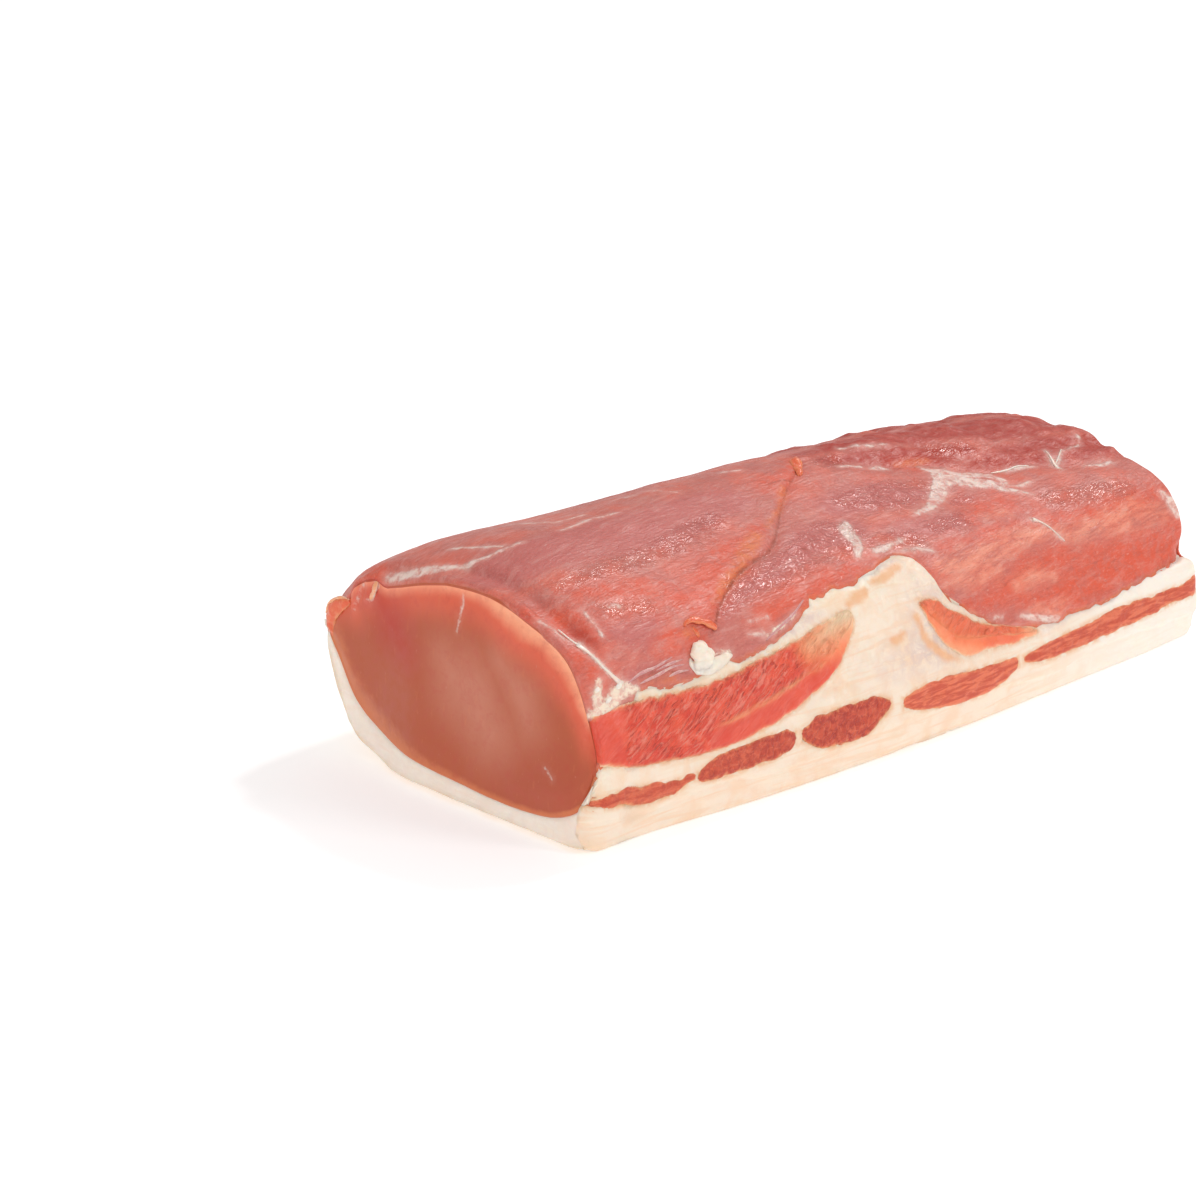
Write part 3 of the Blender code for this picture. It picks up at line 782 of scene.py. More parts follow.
def wrinkles(tree, place):
    """The height of wet wrinkles. A crease is where noise crosses its middle value: the distance from
    there makes sharp valleys."""
    place = tree.stretched(place, (0, 0, 0), (2.2, 1.0, 1.0))
    broad = tree.noise(place, 2.6, 2.0, 0.5, 0.8)
    fine = tree.noise(place, 0.8, 3.0, 0.65, 0.4)
    crease = tree.math("ABSOLUTE", tree.math("SUBTRACT", broad, 0.5))
    return tree.plus(tree.times(tree.math("MINIMUM", crease, 0.12), 1.3), tree.times(fine, 0.12))


print("node group:", RAGGED.name)

# %% [markdown]
# ## The strips of lean in the wall, and the relief that all pieces share
# Where the belly was cut off, two flat strips of rib lean lie bare in the side, and lower down five
# streaks of lean show in the cut edge of the cap. Their outlines come first, because the fat and the eye
# muscle are pressed in under them. Fat and strips share one relief, so that a strip keeps its place in
# the fat everywhere.

# %% Outlines of the strips
# Each row is (along, low edge, high edge), the edges as distances up the wall.
RIB_FRONT = (
    (-143.0, 28.0, 42.5), (-129.0, 24.5, 44.2), (-114.0, 22.3, 43.6), (-91.0, 21.0, 42.6),
    (-72.0, 23.3, 45.0),
    (-55.0, 27.5, 47.0), (-43.0, 33.5, 49.2), (-34.0, 40.0, 50.8), (-27.5, 47.5, 51.8),
)
RIB_REAR = (
    (1.0, 44.0, 47.0), (4.0, 38.0, 46.5), (9.0, 29.0, 45.0), (15.0, 25.0, 40.0), (27.0, 23.3, 33.5),
    (40.0, 22.0, 28.5), (53.0, 22.0, 24.3),
)
STREAKS = (
    ((-143.0, 13.6, 16.2), (-138.0, 13.2, 17.2), (-131.0, 12.5, 17.6), (-119.0, 10.3, 16.5),
     (-111.0, 10.8, 15.8), (-104.5, 13.0, 15.2),
     (-101.2, 13.6, 15.2)),
    ((-101.0, 13.2, 15.4), (-95.0, 11.5, 18.0), (-83.0, 11.8, 20.0), (-70.0, 12.3, 20.7),
     (-60.5, 14.5, 19.3)),
    ((-58.5, 15.0, 19.0), (-52.0, 11.0, 21.0), (-40.0, 9.5, 22.0), (-29.0, 10.5, 22.0), (-19.5, 16.0, 19.5)),
    ((-14.5, 14.5, 18.5), (-5.0, 11.8, 20.0), (12.0, 9.3, 19.5), (27.0, 9.3, 18.5), (42.0, 14.0, 17.0)),
    ((44.5, 14.2, 16.6), (52.0, 12.6, 17.6), (68.0, 11.8, 18.6), (84.0, 12.0, 19.3), (100.0, 13.0, 19.8),
     (118.0, 13.6, 19.2), (130.0, 14.4, 19.8), (143.0, 15.6, 21.6)),
)
STRIPS = (RIB_FRONT, RIB_REAR, *STREAKS)
PRESSED = 1.6
FAT_LIP = 0.55
LIP_RUN = 4.0
PATCH = ((-45, 36, 16), (-25, 42, 14), (-5, 46, 18), (8, 48, 15), (20, 34, 10), (45, 26, 4))


def inside_strips(along, up):
    """How far inside the nearest strip's outline each point is, in mm, below zero outside."""
    best = np.full(len(along), -30.0)
    for outline in STRIPS:
        places, low, high = np.transpose(outline)
        low, high = table_at(places, low, along), table_at(places, high, along)
        depth = np.minimum(up - low, high - up)
        depth = np.minimum(depth, np.minimum(along - places[0], places[-1] - along))
        best = np.maximum(best, depth)
    return best


def pressed_in(along, up):
    """How far the fat and the eye muscle are pressed in under the strips, in mm."""
    return PRESSED * smooth_step(inside_strips(along, up), 0.6, 1.8)


def wall_relief(points, along, up):
    """The relief of the belly wall, in mm: soft grain, lumps on the broad patch of fat, a faint ledge along
    the cut side of the cap, and a lip where the fat thins out over the lean."""
    lip = FAT_LIP * smooth_step(fat_edge(along) - up, 0.0, LIP_RUN)
    grain = 0.35 * lumps(points, 11.0, 21, 2) + 0.12 * lumps(points, 3.2, 22, 2)
    patch = np.clip(-stroke_gap(along, up, [PATCH]) / 6.0, 0.0, 1.0)
    knobs = patch * (1.1 * lumps(points, 9.0, 23, 2) + 0.4 * lumps(points, 3.6, 24, 2))
    ledge_height = 8.0 + 1.5 * lumps(points * [1, 0, 0], 30.0, 25, 2)
    ledge = 0.8 * smooth_step(up - ledge_height, -0.6, 1.0) - 0.4
    ledge = ledge * smooth_step(16.0 - up, 0.0, 3.0) * (up > -4.0)
    return grain + knobs + ledge + lip


# %% [markdown]
# ## Fat
# Back fat is creamy, a little pink near the lean and greyer where the membrane over it is thick. It is
# waxy rather than wet. The cut side of the cap shows faint layers that run the length of the loin.

# %% Fat paint
CREAM = seen(247, 228, 208)
WARM_CREAM = seen(245, 212, 182)
PINK_CREAM = seen(236, 178, 156)
GREY_SKIN = seen(222, 196, 186)
STAIN = seen(238, 176, 124)
PALE_CREAM = seen(252, 242, 232)


def fat_paint():
    """Cream with clouds and faint layers, pink edges, grey membrane and orange stains."""
    paint, tree, shader = tissue("creamy fat", 0.46, 0.45, 3.0, FAT_RADIUS, 0.35)
    place = tree.millimetres()
    layers = tree.noise(tree.stretched(place, (0, 0, 0), (14.0, 6.0, 1.0)), 2.6, 3.0, 0.55, 0.8)
    cloud = tree.noise(place, 10.0, 4.0, 0.6, 0.5)
    patches = tree.noise(place, 4.0, 4.0, 0.65, 0.6)
    near_strip = tree.remap(tree.field("strip_gap"), 1.8, -0.6)
    colour = tree.coats(
        CREAM,
        (tree.times(tree.remap(cloud, 0.42, 0.68), 0.75), WARM_CREAM),
        (tree.times(tree.remap(layers, 0.48, 0.64), 0.75), WARM_CREAM),
        (tree.field("pale"), PALE_CREAM),
        (tree.times(tree.field("skin"), tree.remap(patches, 0.34, 0.6, 0.15, 0.9)), GREY_SKIN),
        (tree.times(zone(tree, place, "lean_gap", 1.6, 1.6, 2.6), 0.6), PINK_CREAM),
        (tree.times(near_strip, tree.remap(patches, 0.36, 0.6, 0.1, 0.8)), STAIN),
        (tree.times(zone(tree, place, "stain_gap", 1.4, 1.2, 3.0), 0.75), STAIN),
    )
    tree.feed(shader.inputs["Base Color"], colour)
    tree.feed(shader.inputs["Roughness"], tree.remap(patches, 0.35, 0.65, 0.34, 0.55))
    crumb = tree.noise(place, 1.8, 3.0, 0.6)
    height = tree.plus(tree.times(crumb, 0.35), tree.times(patches, 0.5))
    bump(tree, height, shader, 0.7)
    return paint


FAT_PAINT = fat_paint()

# %% [markdown]
# ## The fat cap
# One long shallow trough of fat: flat where it lies, up the belly side to the ragged edge, and a little
# way up the chine side. The outer sheet is walked from the belly edge down round the corner, under the
# loin and up to the chine edge. It takes the wall's relief and is pressed in under the strips of lean.
# At its ragged edge it dives under the lean's surface, so that the edge is a crossing of the two.

# %% The fat cap
FAT_LAYERS = 11
# Between its edges the inner sheet is raised: how far, and over what share of its width it rises.
RAISED, RAISED_SHARE = 1.4, 0.06
# At its edge the fat dives under the lean: from how far below the edge, and how deep (mean, lumps).
DIVE_RUN, DIVE = 2.5, (0.5, 0.35)
FAT_COLUMNS = ((0, 0.0), (70, 46.0), (84, 60.0), (112, 150.0), (160, 215.0))
SKIN_SPOTS = ((8, 37, 16, 11, 0.9), (22, 29, 18, 5, 1.0), (-12, 29, 16, 6, 0.5), (10, 50, 8, 8, 0.4),
              (60, 24, 12, 3, 0.8), (-54, 50, 8, 1.6, 1.0), (-45, 52.5, 6, 1.6, 1.0), (-72, 46, 6, 1.0, 0.8),
              (-4, 62, 10, 3, 0.8))
STAIN_STROKES = (
    ((-13, 57, 0.8), (-7, 57.5, 1.7), (2, 59.5, 1.5)), ((-27, 52.5, 1.2), (-22, 54, 2.0), (-17, 55, 1.2)),
    ((-14, 37, 1.5), (-8, 38, 1.0)), ((-2, 42, 1.0), (0, 34, 1.5), (6, 27, 1.5), (14, 23.5, 0.6)),
)


def fat_cap():
    """The cap's two sheets, its relief and its fields."""
    along, _ = rows_along(FAT_RIM)
    out = Outside(along)
    edge = fat_edge(along)
    chine = out.chine_edge(FAT_CHINE_DROP) - 2.0
    length = out.lap + edge - chine
    # The share of the walk that each column has: close together on the belly side, wide underneath.
    walk_share = read(FAT_COLUMNS, np.arange(FAT_COLUMNS[-1][0] + 1)) / FAT_COLUMNS[-1][1]
    up = (out.lap + edge)[:, None] - length[:, None] * walk_share[None, :]
    rows = np.repeat(along, up.shape[1])
    rim = fat_rim(rows, (up - out.lap[:, None]).ravel()).reshape(up.shape)
    outer = out.at(up) - out.outward(up) * rim[..., None]
    under = underside(out, edge, chine, walk_share)
    middle = smooth_step(walk_share, 0.0, RAISED_SHARE) * smooth_step(1.0 - walk_share, 0.0, RAISED_SHARE)
    under = under + RAISED * middle[None, :, None] * np.array([0.0, 1.0])
    points, triangles, facing, i, j, k = body_between(along, outer, under, FAT_LAYERS)
    # The ragged edge moves straight out or in, as what lies beside it does, so that no gap opens.
    at_edge = (j < 2) & (k == 0)
    facing[at_edge] = np.pad(out.outward(up)[i[at_edge], j[at_edge]], ((0, 0), (1, 0)))
    place_up = (up - out.lap[:, None])[i, j]
    place_along = along[i]
    on_ground = smooth_step(points[:, 2], 0.2, 3.0)
    pressed = pressed_in(place_along, place_up)
    dive = smooth_step(place_up - edge[i], -DIVE_RUN, 0.0) * (DIVE[0] + DIVE[1] * lumps(points, 3.0, 27, 2))
    on_side = on_ground * wall_relief(points, place_along, place_up) - pressed - dive
    # The cut of the fat steps back a little where the lean lies on it, so that the lean's edge is what shows.
    back = smooth_step(k / (FAT_LAYERS - 1.0), 0.7, 1.0) * (1.0 - smooth_step(place_up, 12.0, 20.0))
    on_cut = 0.4 * lumps(points, 9.0, 26, 2) - back
    on_cut = np.where((k < FAT_LAYERS - 1) | (i == 0) | (i == len(along) - 1), on_cut, pressed)
    lift = np.where(k == 0, on_side, on_cut)
    points = points + facing * lift[:, None]
    points[:, 2] = np.maximum(points[:, 2], 0.0)
    lean_gap = np.where(k == 0, edge[i] - place_up, 6.0)
    low_down = 1.0 - smooth_step(place_up, 8.0, 15.0)
    fields = {
        "lean_gap": lean_gap,
        "skin": np.where(k == 0, spots(place_along, place_up, SKIN_SPOTS), 0.15 * low_down),
        "pale": np.where(k == 0, 0.65 * smooth_step(place_along, 20.0, 110.0), 0.6 * low_down),
        "stain_gap": np.where(k == 0, stroke_gap(place_along, place_up, STAIN_STROKES), 30.0),
        "strip_gap": np.where(k == 0, -inside_strips(place_along, place_up), 9.0),
    }
    return piece("cap_of_fat", points, triangles, fields, FAT_PAINT, ["fat_cap"])


fat_cap()

# %% [markdown]
# ## Lean
# The eye muscle is wrapped in a thin membrane, so its top is a dusky pink with small wet wrinkles. Where
# the knife took the membrane off it is a fresher orange-red. Silverskin lies on it in pale shreds and
# lines, and fat clings along the strip of rib lean. The cut ends are the muscle's inside: a smooth salmon
# brown that turns orange at the rim, where the light comes through.

# %% Lean paint
DUSKY = seen(200, 108, 95)
ROSE = seen(215, 105, 85)
FRESH = seen(222, 84, 50)
# Peach: paler lean above the fat, partly its own tone and partly a painted sheen.
PEACH_AND_SHEEN = seen(240, 150, 122)
DEEP = seen(176, 44, 22)
LILAC = seen(199, 105, 97)
AMBER = seen(224, 116, 62)
FIBRE_DARK = seen(166, 70, 56)
VEIL = seen(232, 184, 172)
SILVER = seen(242, 218, 206)
FAT_CREAM = seen(248, 226, 204)
# Painted shade: the dark in the seam's fine cut and the other fine lines drawn with it.
SEAM_SHADE = seen(150, 66, 40)
CUT_BROWN = seen(180, 78, 36)
CUT_PALE = seen(202, 124, 98)
CUT_RED = seen(184, 38, 14)
CUT_DEEP = seen(178, 74, 42)
# Painted light: the orange glow where light comes through the cut near its rim.
CUT_GLOW = seen(232, 98, 68)
# Painted light: the bright orange band just inside the rim of the cut.
CUT_RIM_LIGHT = seen(255, 172, 132)
# The cut's amber grain, and painted light coming through the thin lean by the fat.
CUT_AMBER = seen(214, 120, 70)
# How the edge of each zone of the lean is torn, how soft it is, and the size of its tears, in mm.
ZONE_EDGES = {"lilac": (3.5, 4.0, 7.0), "fresh": (5.0, 4.5, 9.0), "peach_sheen_and_rim_light": (4.0, 4.0, 6.0),
              "deep": (3.5, 4.0, 7.0), "amber": (1.6, 1.8, 4.0)}


def skin_colour(tree, place, cloud, mottle, fibres, zones):
    """The outside of the muscle: dusky membrane, fresher lean where it is torn off, and fibres over all."""
    streaks = tree.noise(tree.stretched(place, (0, 0, 10), (5.0, 1.0, 1.0)), 3.6, 4.0, 0.62, 0.8)
    speck = tree.noise(tree.stretched(place, (0, 0, 8), (1.8, 1.0, 1.0)), 0.9, 4.0, 0.7, 0.5)
    bare = tree.remap(zones["deep"], 0.0, 1.0, 1.0, 0.3)
    crack_shade = zone(tree, place, "seam", 0.9, 0.5, 3.0)
    return tree.coats(
        DUSKY,
        (tree.remap(cloud, 0.38, 0.62), ROSE),
        (zones["lilac"], LILAC),
        (tree.times(zones["fresh"], tree.remap(mottle, 0.3, 0.62, 0.35, 0.95)), FRESH),
        # Paler strips above the fat, partly a painted sheen, streaked along the loin.
        (tree.times(zones["peach_sheen_and_rim_light"], tree.remap(streaks, 0.36, 0.6, 0.3, 0.95)), PEACH_AND_SHEEN),
        (tree.times(zones["deep"], tree.remap(mottle, 0.3, 0.62, 0.5, 1.0)), DEEP),
        (tree.times(zones["amber"], tree.remap(mottle, 0.36, 0.6, 0.35, 0.9)), AMBER),
        (tree.times(tree.remap(streaks, 0.5, 0.68, 0.0, 0.2), bare), VEIL),
        (tree.remap(streaks, 0.46, 0.34, 0.0, 0.2), FIBRE_DARK),
        (tree.remap(fibres, 0.54, 0.72, 0.0, 0.3), FIBRE_DARK),
        (tree.times(tree.remap(speck, 0.55, 0.72, 0.0, 0.3), bare), VEIL),
        (tree.remap(speck, 0.45, 0.3, 0.0, 0.35), FIBRE_DARK),
        # Painted shade along the seam and the other fine lines drawn with it.
        (tree.times(crack_shade, tree.remap(mottle, 0.35, 0.6, 0.15, 0.8)), SEAM_SHADE),
    )


def cut_colour(tree, place, cloud, mottle, amber):
    """The cut ends: smooth brown with paler and redder clouds, and orange painted light by the rim and fat.
    """
    inner = {name: tree.remap(tree.field(name), 3.0, -3.0) for name in ("lilac", "deep", "fresh")}
    grain = tree.noise(tree.stretched(place, (0, 0, 0), (1.0, 1.0, 3.0)), 1.6, 2.0, 0.5)
    fleck = tree.noise(tree.stretched(place, (0, 0, 0), (1.0, 1.0, 2.2)), 0.9, 2.0, 0.5)
    return tree.coats(
        CUT_BROWN,
        (tree.times(inner["lilac"], tree.remap(cloud, 0.3, 0.7, 0.7, 1.0)), CUT_PALE),
        (tree.times(inner["deep"], 0.9), CUT_DEEP),
        # Painted light coming through near the rim: a broad orange glow, then a bright band.
        (tree.times(tree.remap(tree.field("peach_sheen_and_rim_light"), 15.0, 0.0), 0.85), CUT_GLOW),
        (tree.times(inner["fresh"], 0.95), CUT_RED),
        # Painted light coming through the thin lean by the fat.
        (tree.times(amber, 0.8), CUT_AMBER),
        (tree.times(zone(tree, place, "peach_sheen_and_rim_light", 1.6, 3.2, 11.0), 0.95), CUT_RIM_LIGHT),
        (tree.remap(grain, 0.6, 0.8, 0.0, 0.18), CUT_AMBER),
        (tree.remap(mottle, 0.55, 0.3, 0.0, 0.2), CUT_RED),
        (tree.remap(fleck, 0.68, 0.8, 0.0, 0.4), CUT_PALE),
    )


def lean_paint():
    """The skin and the cut ends, then the silverskin and the fat that lie on them."""
    paint, tree, shader = tissue("eye lean", 0.4, 0.55, 2.2, FLESH_RADIUS, 0.2)
    place = tree.millimetres()
    cloud = tree.noise(place, 15.0, 4.0, 0.6)
    mottle = tree.noise(place, 3.6, 4.0, 0.65, 0.3)
    clump = tree.noise(place, 2.2, 4.0, 0.6, 0.5)
    fibres = tree.noise(tree.stretched(place, (0, 0, 8), (7.0, 1.0, 1.0)), 1.2, 3.0, 0.6, 0.4)
    zones = {name: zone(tree, place, name, *edge) for name, edge in ZONE_EDGES.items()}
    cut = tree.remap(tree.field("cut"), 0.25, -0.25)
    # Membrane and clinging fat are thick in the middle and thin out to a veil around it.
    shreds = tree.remap(mottle, 0.34, 0.6, 0.2, 1.0)
    silver = tree.times(zone(tree, place, "silver", 1.4, 0.6, 2.4), shreds)
    halo = tree.times(zone(tree, place, "silver", 2.2, 2.4, 5.0, 0.5), tree.remap(cut, 0.0, 1.0, 0.4, 0.1))
    cling = zone(tree, place, "cling", 2.2, 0.6, 2.6)
    veil = zone(tree, place, "cling", 2.4, 2.2, 4.0, 0.8)
    tree.feed(shader.inputs["Base Color"], tree.coats(
        skin_colour(tree, place, cloud, mottle, fibres, zones),
        (cut, cut_colour(tree, place, cloud, mottle, zones["amber"])),
        (tree.times(halo, shreds), SILVER),
        (tree.times(silver, 0.85), SILVER),
        (tree.times(veil, 0.45), VEIL),
        (tree.times(cling, tree.remap(clump, 0.36, 0.56, 0.35, 1.0)), FAT_CREAM),
    ))
    wet = zone(tree, place, "wet", 3.0, 3.5, 6.0)
    dry_rough = tree.remap(mottle, 0.3, 0.7, 0.36, 0.52)
    wet_rough = tree.remap(mottle, 0.3, 0.7, 0.1, 0.22)
    rough = tree.plus(dry_rough, tree.times(wet, tree.math("SUBTRACT", wet_rough, dry_rough)))
    tree.feed(shader.inputs["Roughness"], rough)
    height = tree.times(wrinkles(tree, place), tree.remap(wet, 0.0, 1.0, 0.6, 1.3))
    height = tree.plus(height, tree.times(fibres, 0.3))
    height = tree.times(height, tree.remap(cut, 0.0, 1.0, 1.0, 0.06))
    height = tree.plus(height, tree.times(tree.plus(silver, cling), 0.3))
    bump(tree, height, shader, 0.9)
    return paint


LEAN_PAINT = lean_paint()

# %% [markdown]
# ## What lies on the eye muscle
# Each mark is a stroke on the surface: a few points (along, up, half width) in millimetres. They were
# measured on the real loin's picture and turned into places on the outside. Points of the marks on the
# near cut are (across, height, half width).

# %% Marks on the eye muscle
SEAM = ((-84, 58), (-78, 64), (-70, 69), (-60, 74.5), (-50, 77.5), (-40, 80), (-33, 84), (-26, 89.5),
        (-18, 96), (-9, 102.5), (-3, 106.5), (6, 112), (16, 119))
CHINE_GROOVE = ((28, 113), (39, 109), (50, 104.5), (65, 101.5), (74, 96), (84, 91), (104, 90), (111, 85),
                (132, 82), (142, 81))
SIDE_MARKS = {
    "seam": (tuple((along, up, float(np.interp(up, (80, 112), (0.5, 0.1)))) for along, up in SEAM),
             ((50, 104, 0.2), (62, 102.5, 0.5), (70, 99, 0.2)),
             ((84, 91, 0.2), (96, 91.5, 0.4), (104, 90.5, 0.2)),
             ((-13, 110.5, 0.2), (-4, 110, 0.5), (3, 109, 0.2)),
             ((-92, 61, 0.2), (-87, 60, 0.5), (-83, 57.5, 0.2)),
             ((-72, 50, 0.1), (-63, 49, 0.3), (-55, 51.5, 0.1)),
             ((-122, 50, 0.1), (-112, 51, 0.3), (-98, 47, 0.1))),
    "fresh": (((-140, 84, 3), (-134, 76, 6), (-129, 69, 4)),
              ((-122, 84, 2), (-105, 81, 4), (-95, 77, 6), (-87, 68, 6)),
              ((-86, 66, 5), (-76, 73, 7), (-64, 80, 8), (-52, 85, 6), (-40, 88, 4), (-30, 93, 2)),
              ((-110, 56, 2), (-100, 59, 5), (-90, 56, 2)),
              ((-70, 56, 1), (-50, 59, 4), (-30, 61, 4), (-14, 65, 3)),
              ((-14, 110, 1.5), (0, 112, 2.5), (12, 118, 2.0)), ((50, 69, 3), (60, 73, 5), (72, 72, 4)),
              ((26, 61, 1), (50, 61.5, 2), (75, 60, 2), (100, 58.5, 2.5), (136, 60, 3)),
              ((50, 36, 2), (66, 31, 5), (84, 36, 9), (104, 37, 11), (125, 40, 10), (142, 44, 8)),
              ((22, 40, 2), (40, 38, 3), (58, 44, 4), (76, 46, 4)),
              ((52, 106, 3), (60, 105, 3.5), (69, 104, 1.5)),
              ((83, 82, 1.2), (88, 82.5, 1.0)), ((-103, 79.5, 1.5), (-101, 79.5, 1.5)),
              ((-137, 62, 3), (-132, 52, 3)), ((-141, 152, 3), (-137, 160, 4), (-139, 170, 3))),
    # Paler strips above the fat, partly their own tone and partly a painted sheen.
    "peach_sheen_and_rim_light": (((20, 55, 2), (34, 53, 5), (46, 54, 4), (60, 56, 3.5), (78, 56, 2)),
              ((82, 53, 2), (100, 54, 3.5), (120, 56, 4), (134, 53, 2)),
              ((18, 48, 1), (32, 48, 3), (44, 47, 2)), ((50, 41, 2), (60, 42, 3), (68, 41, 1)),
              ((57, 68.5, 0.6), (66, 67.5, 1)), ((56, 31, 1), (63, 28, 2), (69, 31, 1))),
    "deep": (((80, 96, 2), (98, 97, 6), (116, 97, 7), (138, 92, 6)),
             ((20, 124, 3), (60, 122, 8), (142, 108, 8)), ((110, 87, 1), (122, 90, 4), (136, 87, 4)),
             ((24, 116, 2), (44, 112, 4), (70, 106, 5), (84, 103, 3)),
             ((66, 119, 3), (100, 115, 4), (136, 106, 4)),
             ((46, 106, 1), (51, 105.5, 1.5)), ((60, 118, 1), (90, 124, 7), (130, 120, 7), (142, 112, 4)),
             ((-60, 146, 4), (20, 140, 6), (80, 150, 14), (142, 140, 10)),
             ((-112, 172, 4), (-60, 185, 8), (140, 185, 8)),
             ((-130, 66, 1), (-132, 72, 2))),
    "lilac": (((-125, 68, 2), (-117, 64, 5), (-104, 63, 4)),
              ((-77, 62, 1), (-66, 66, 3), (-54, 69, 4), (-40, 73, 4), (-20, 80, 7), (0, 80, 8)),
              ((14, 74, 4), (32, 71, 6), (48, 71, 4)), ((52, 79, 1), (61, 80, 2)),
              ((-122, 51, 2), (-100, 50.5, 2.5)), ((-72, 49, 1), (-52, 50.5, 1.5)),
              ((4, 92, 6), (30, 92, 8), (48, 88, 4)), ((-130, 108, 10), (-70, 106, 12), (-30, 108, 8))),
    "amber": (((52, 105.5, 0.6), (60, 105, 1.6), (66, 104, 0.6)),
              ((-78, 66.5, 0.5), (-68, 72, 2), (-58, 77, 2.2), (-47, 83, 3), (-38, 88, 2.5)),
              ((-118, 48.5, 1), (-106, 47.5, 1.6)),
              ((-96, 59, 1), (-92, 60, 1.5)), ((10, 117, 0.8), (15, 120, 1.5)),
              ((-30, 91, 0.6), (-17, 97.5, 0.8), (-6, 106, 1.2))),
    "silver": (
        ((-139, 150, 1.2), (-138, 136, 1.4), (-136, 128, 1.3), (-132, 122, 1.1), (-126, 119.5, 0.8),
         (-114, 118, 0.3)),
        ((-125, 137, 0.4), (-122, 126, 0.6), (-119, 121, 0.3)),
        ((-96, 142, 0.2), (-89, 128, 0.3), (-79, 126, 0.1)),
        ((-97, 118, 0.1), (-84, 119.5, 0.5), (-71, 118.5, 0.2)), ((-60, 131, 0.3), (-53, 130, 0.4)),
        ((-46, 130, 0.1), (-45, 124, 0.4), (-42, 121, 0.2)), ((-15, 126, 0.2), (-9, 123, 0.4)),
        ((-139, 79, 0.3), (-138, 71, 0.5), (-136.5, 67, 0.5)),
        ((-134.5, 66, 1.0), (-133, 60, 0.8), (-129, 53, 0.8), (-126, 50, 1.2)),
        ((-125.5, 76, 0.3), (-126, 66, 0.3)),
        ((-117, 75, 0.5), (-113, 74.5, 0.8)),
        ((61, 101, 0.8), (64, 97, 2.6), (60, 91, 3.4), (52, 85.5, 2.6), (42, 80, 1.6), (30, 77.5, 0.5)),
        ((66, 98, 1.6), (73, 92, 2.2), (81, 89.5, 2.2), (82, 84, 1.6), (77, 80, 1.6), (84, 73, 0.4)),
        ((64, 92, 3.5), (70, 87, 3.6), (76, 84, 2.6)),
        ((89, 90, 0.4), (97, 90.5, 0.9), (101, 89.5, 0.4)),
        ((28, 110.5, 0.4), (32, 110, 0.8), (37, 108.5, 0.4)),
        ((40, 106, 0.6), (44, 106, 1.2), (47, 104.5, 0.5)), ((80, 80, 0.3), (85, 79, 0.7), (90, 80, 0.3)),
        ((112, 95, 0.5), (109, 88, 0.8), (108, 84.5, 0.9)), ((118, 92.5, 0.3), (110, 87.5, 0.4)),
        ((133, 98, 0.5), (128, 93.5, 0.4), (117, 91.5, 0.2)),
        ((119, 82, 0.3), (125, 80, 1.0), (131, 81, 0.4)),
        ((38, 120, 0.2), (50, 116, 0.6), (57, 115.5, 0.2)),
        ((73, 61.5, 0.8), (75.5, 60, 0.4), (80, 51, 0.2)), ((136, 60, 1.4), (138, 56, 2.2), (139, 51, 1.4)),
        ((-10, 67, 0.4), (-5, 72, 2.0), (-2, 80, 2.6), (2, 84, 0.8)),
        ((0, 68, 1.4), (8, 68, 1.2), (14, 69, 0.8)),
        ((10, 64.5, 0.4), (17, 64, 0.6), (22, 61, 0.3)), ((34, 33, 0.3), (40, 32, 0.5)),
        ((50, 30, 0.8), (57, 26.5, 1.6), (64, 24.5, 1.2)), ((-70, 57, 0.1), (-62, 56.5, 0.3)),
        ((-72, 53, 0.1), (-66, 52, 0.3)),
    ),
    "cling": (
        ((-139, 43.5, 1.6), (-134, 45, 2.4), (-129, 47.5, 2.6), (-125, 48.5, 2.0), (-121, 47, 1.0)),
        ((-134, 53, 0.8), (-136, 50, 1.6), (-137, 47, 1.8)), ((-88, 50.5, 0.4), (-82, 49.5, 0.6)),
        ((-66, 50.5, 0.2), (-58, 52.5, 0.5), (-50, 55, 0.3)),
    ),
    "wet": (((-126, 90, 2), (-100, 91, 4), (-80, 93, 4), (-60, 97, 5), (-46, 100, 4)),
            ((-117, 74, 3), (-104, 71, 3)),
            ((-76, 63, 2), (-64, 68, 5), (-50, 70, 6), (-30, 74, 7), (-6, 78, 9)),
            ((10, 94, 4), (30, 90, 8), (50, 90, 5)),
            ((2, 72, 4), (20, 67, 4)), ((32, 70, 3), (46, 70, 4)), ((53, 79, 2), (61, 80, 2)),
            ((70, 107, 2), (84, 104, 3)),
            ((22, 114, 3), (30, 115, 3)), ((88, 68, 4), (120, 66, 5))),
}
CUT_MARKS = {
    "fresh": (((41, 56, 3), (34, 50, 7), (28, 44, 4)),),
    "lilac": (((8, 46, 4), (-2, 38, 12), (-14, 28, 10)), ((-16, 52, 3), (-26, 43, 6), (-30, 34, 4))),
    "deep": (((-48, 18, 7), (-36, 14, 8), (-24, 12, 5)),),
    "silver": (((2, 68, 0.2), (1.4, 65, 0.3), (3, 56, 0.1)), ((-38.5, 23.6, 0.2), (-42, 21.3, 0.1)),
               ((47.8, 63, 0.3), (49.4, 56.6, 0.35), (52.4, 50, 0.1)),
               ((42.4, 64, 0.7), (42, 59.8, 0.6), (43.6, 56, 0.5), (46.4, 54, 0.3))),
}
# Two leaves of lean that stand proud at the chine corner of the near cut, with a pale line between them.
CORNER_LEAVES = (((51.2, 62, 2.2), (51.8, 57.4, 2.8), (53.4, 50.5, 1.0)),
                 ((45, 62, 1.8), (45.6, 58.8, 2.2), (47.2, 54.6, 0.7)))

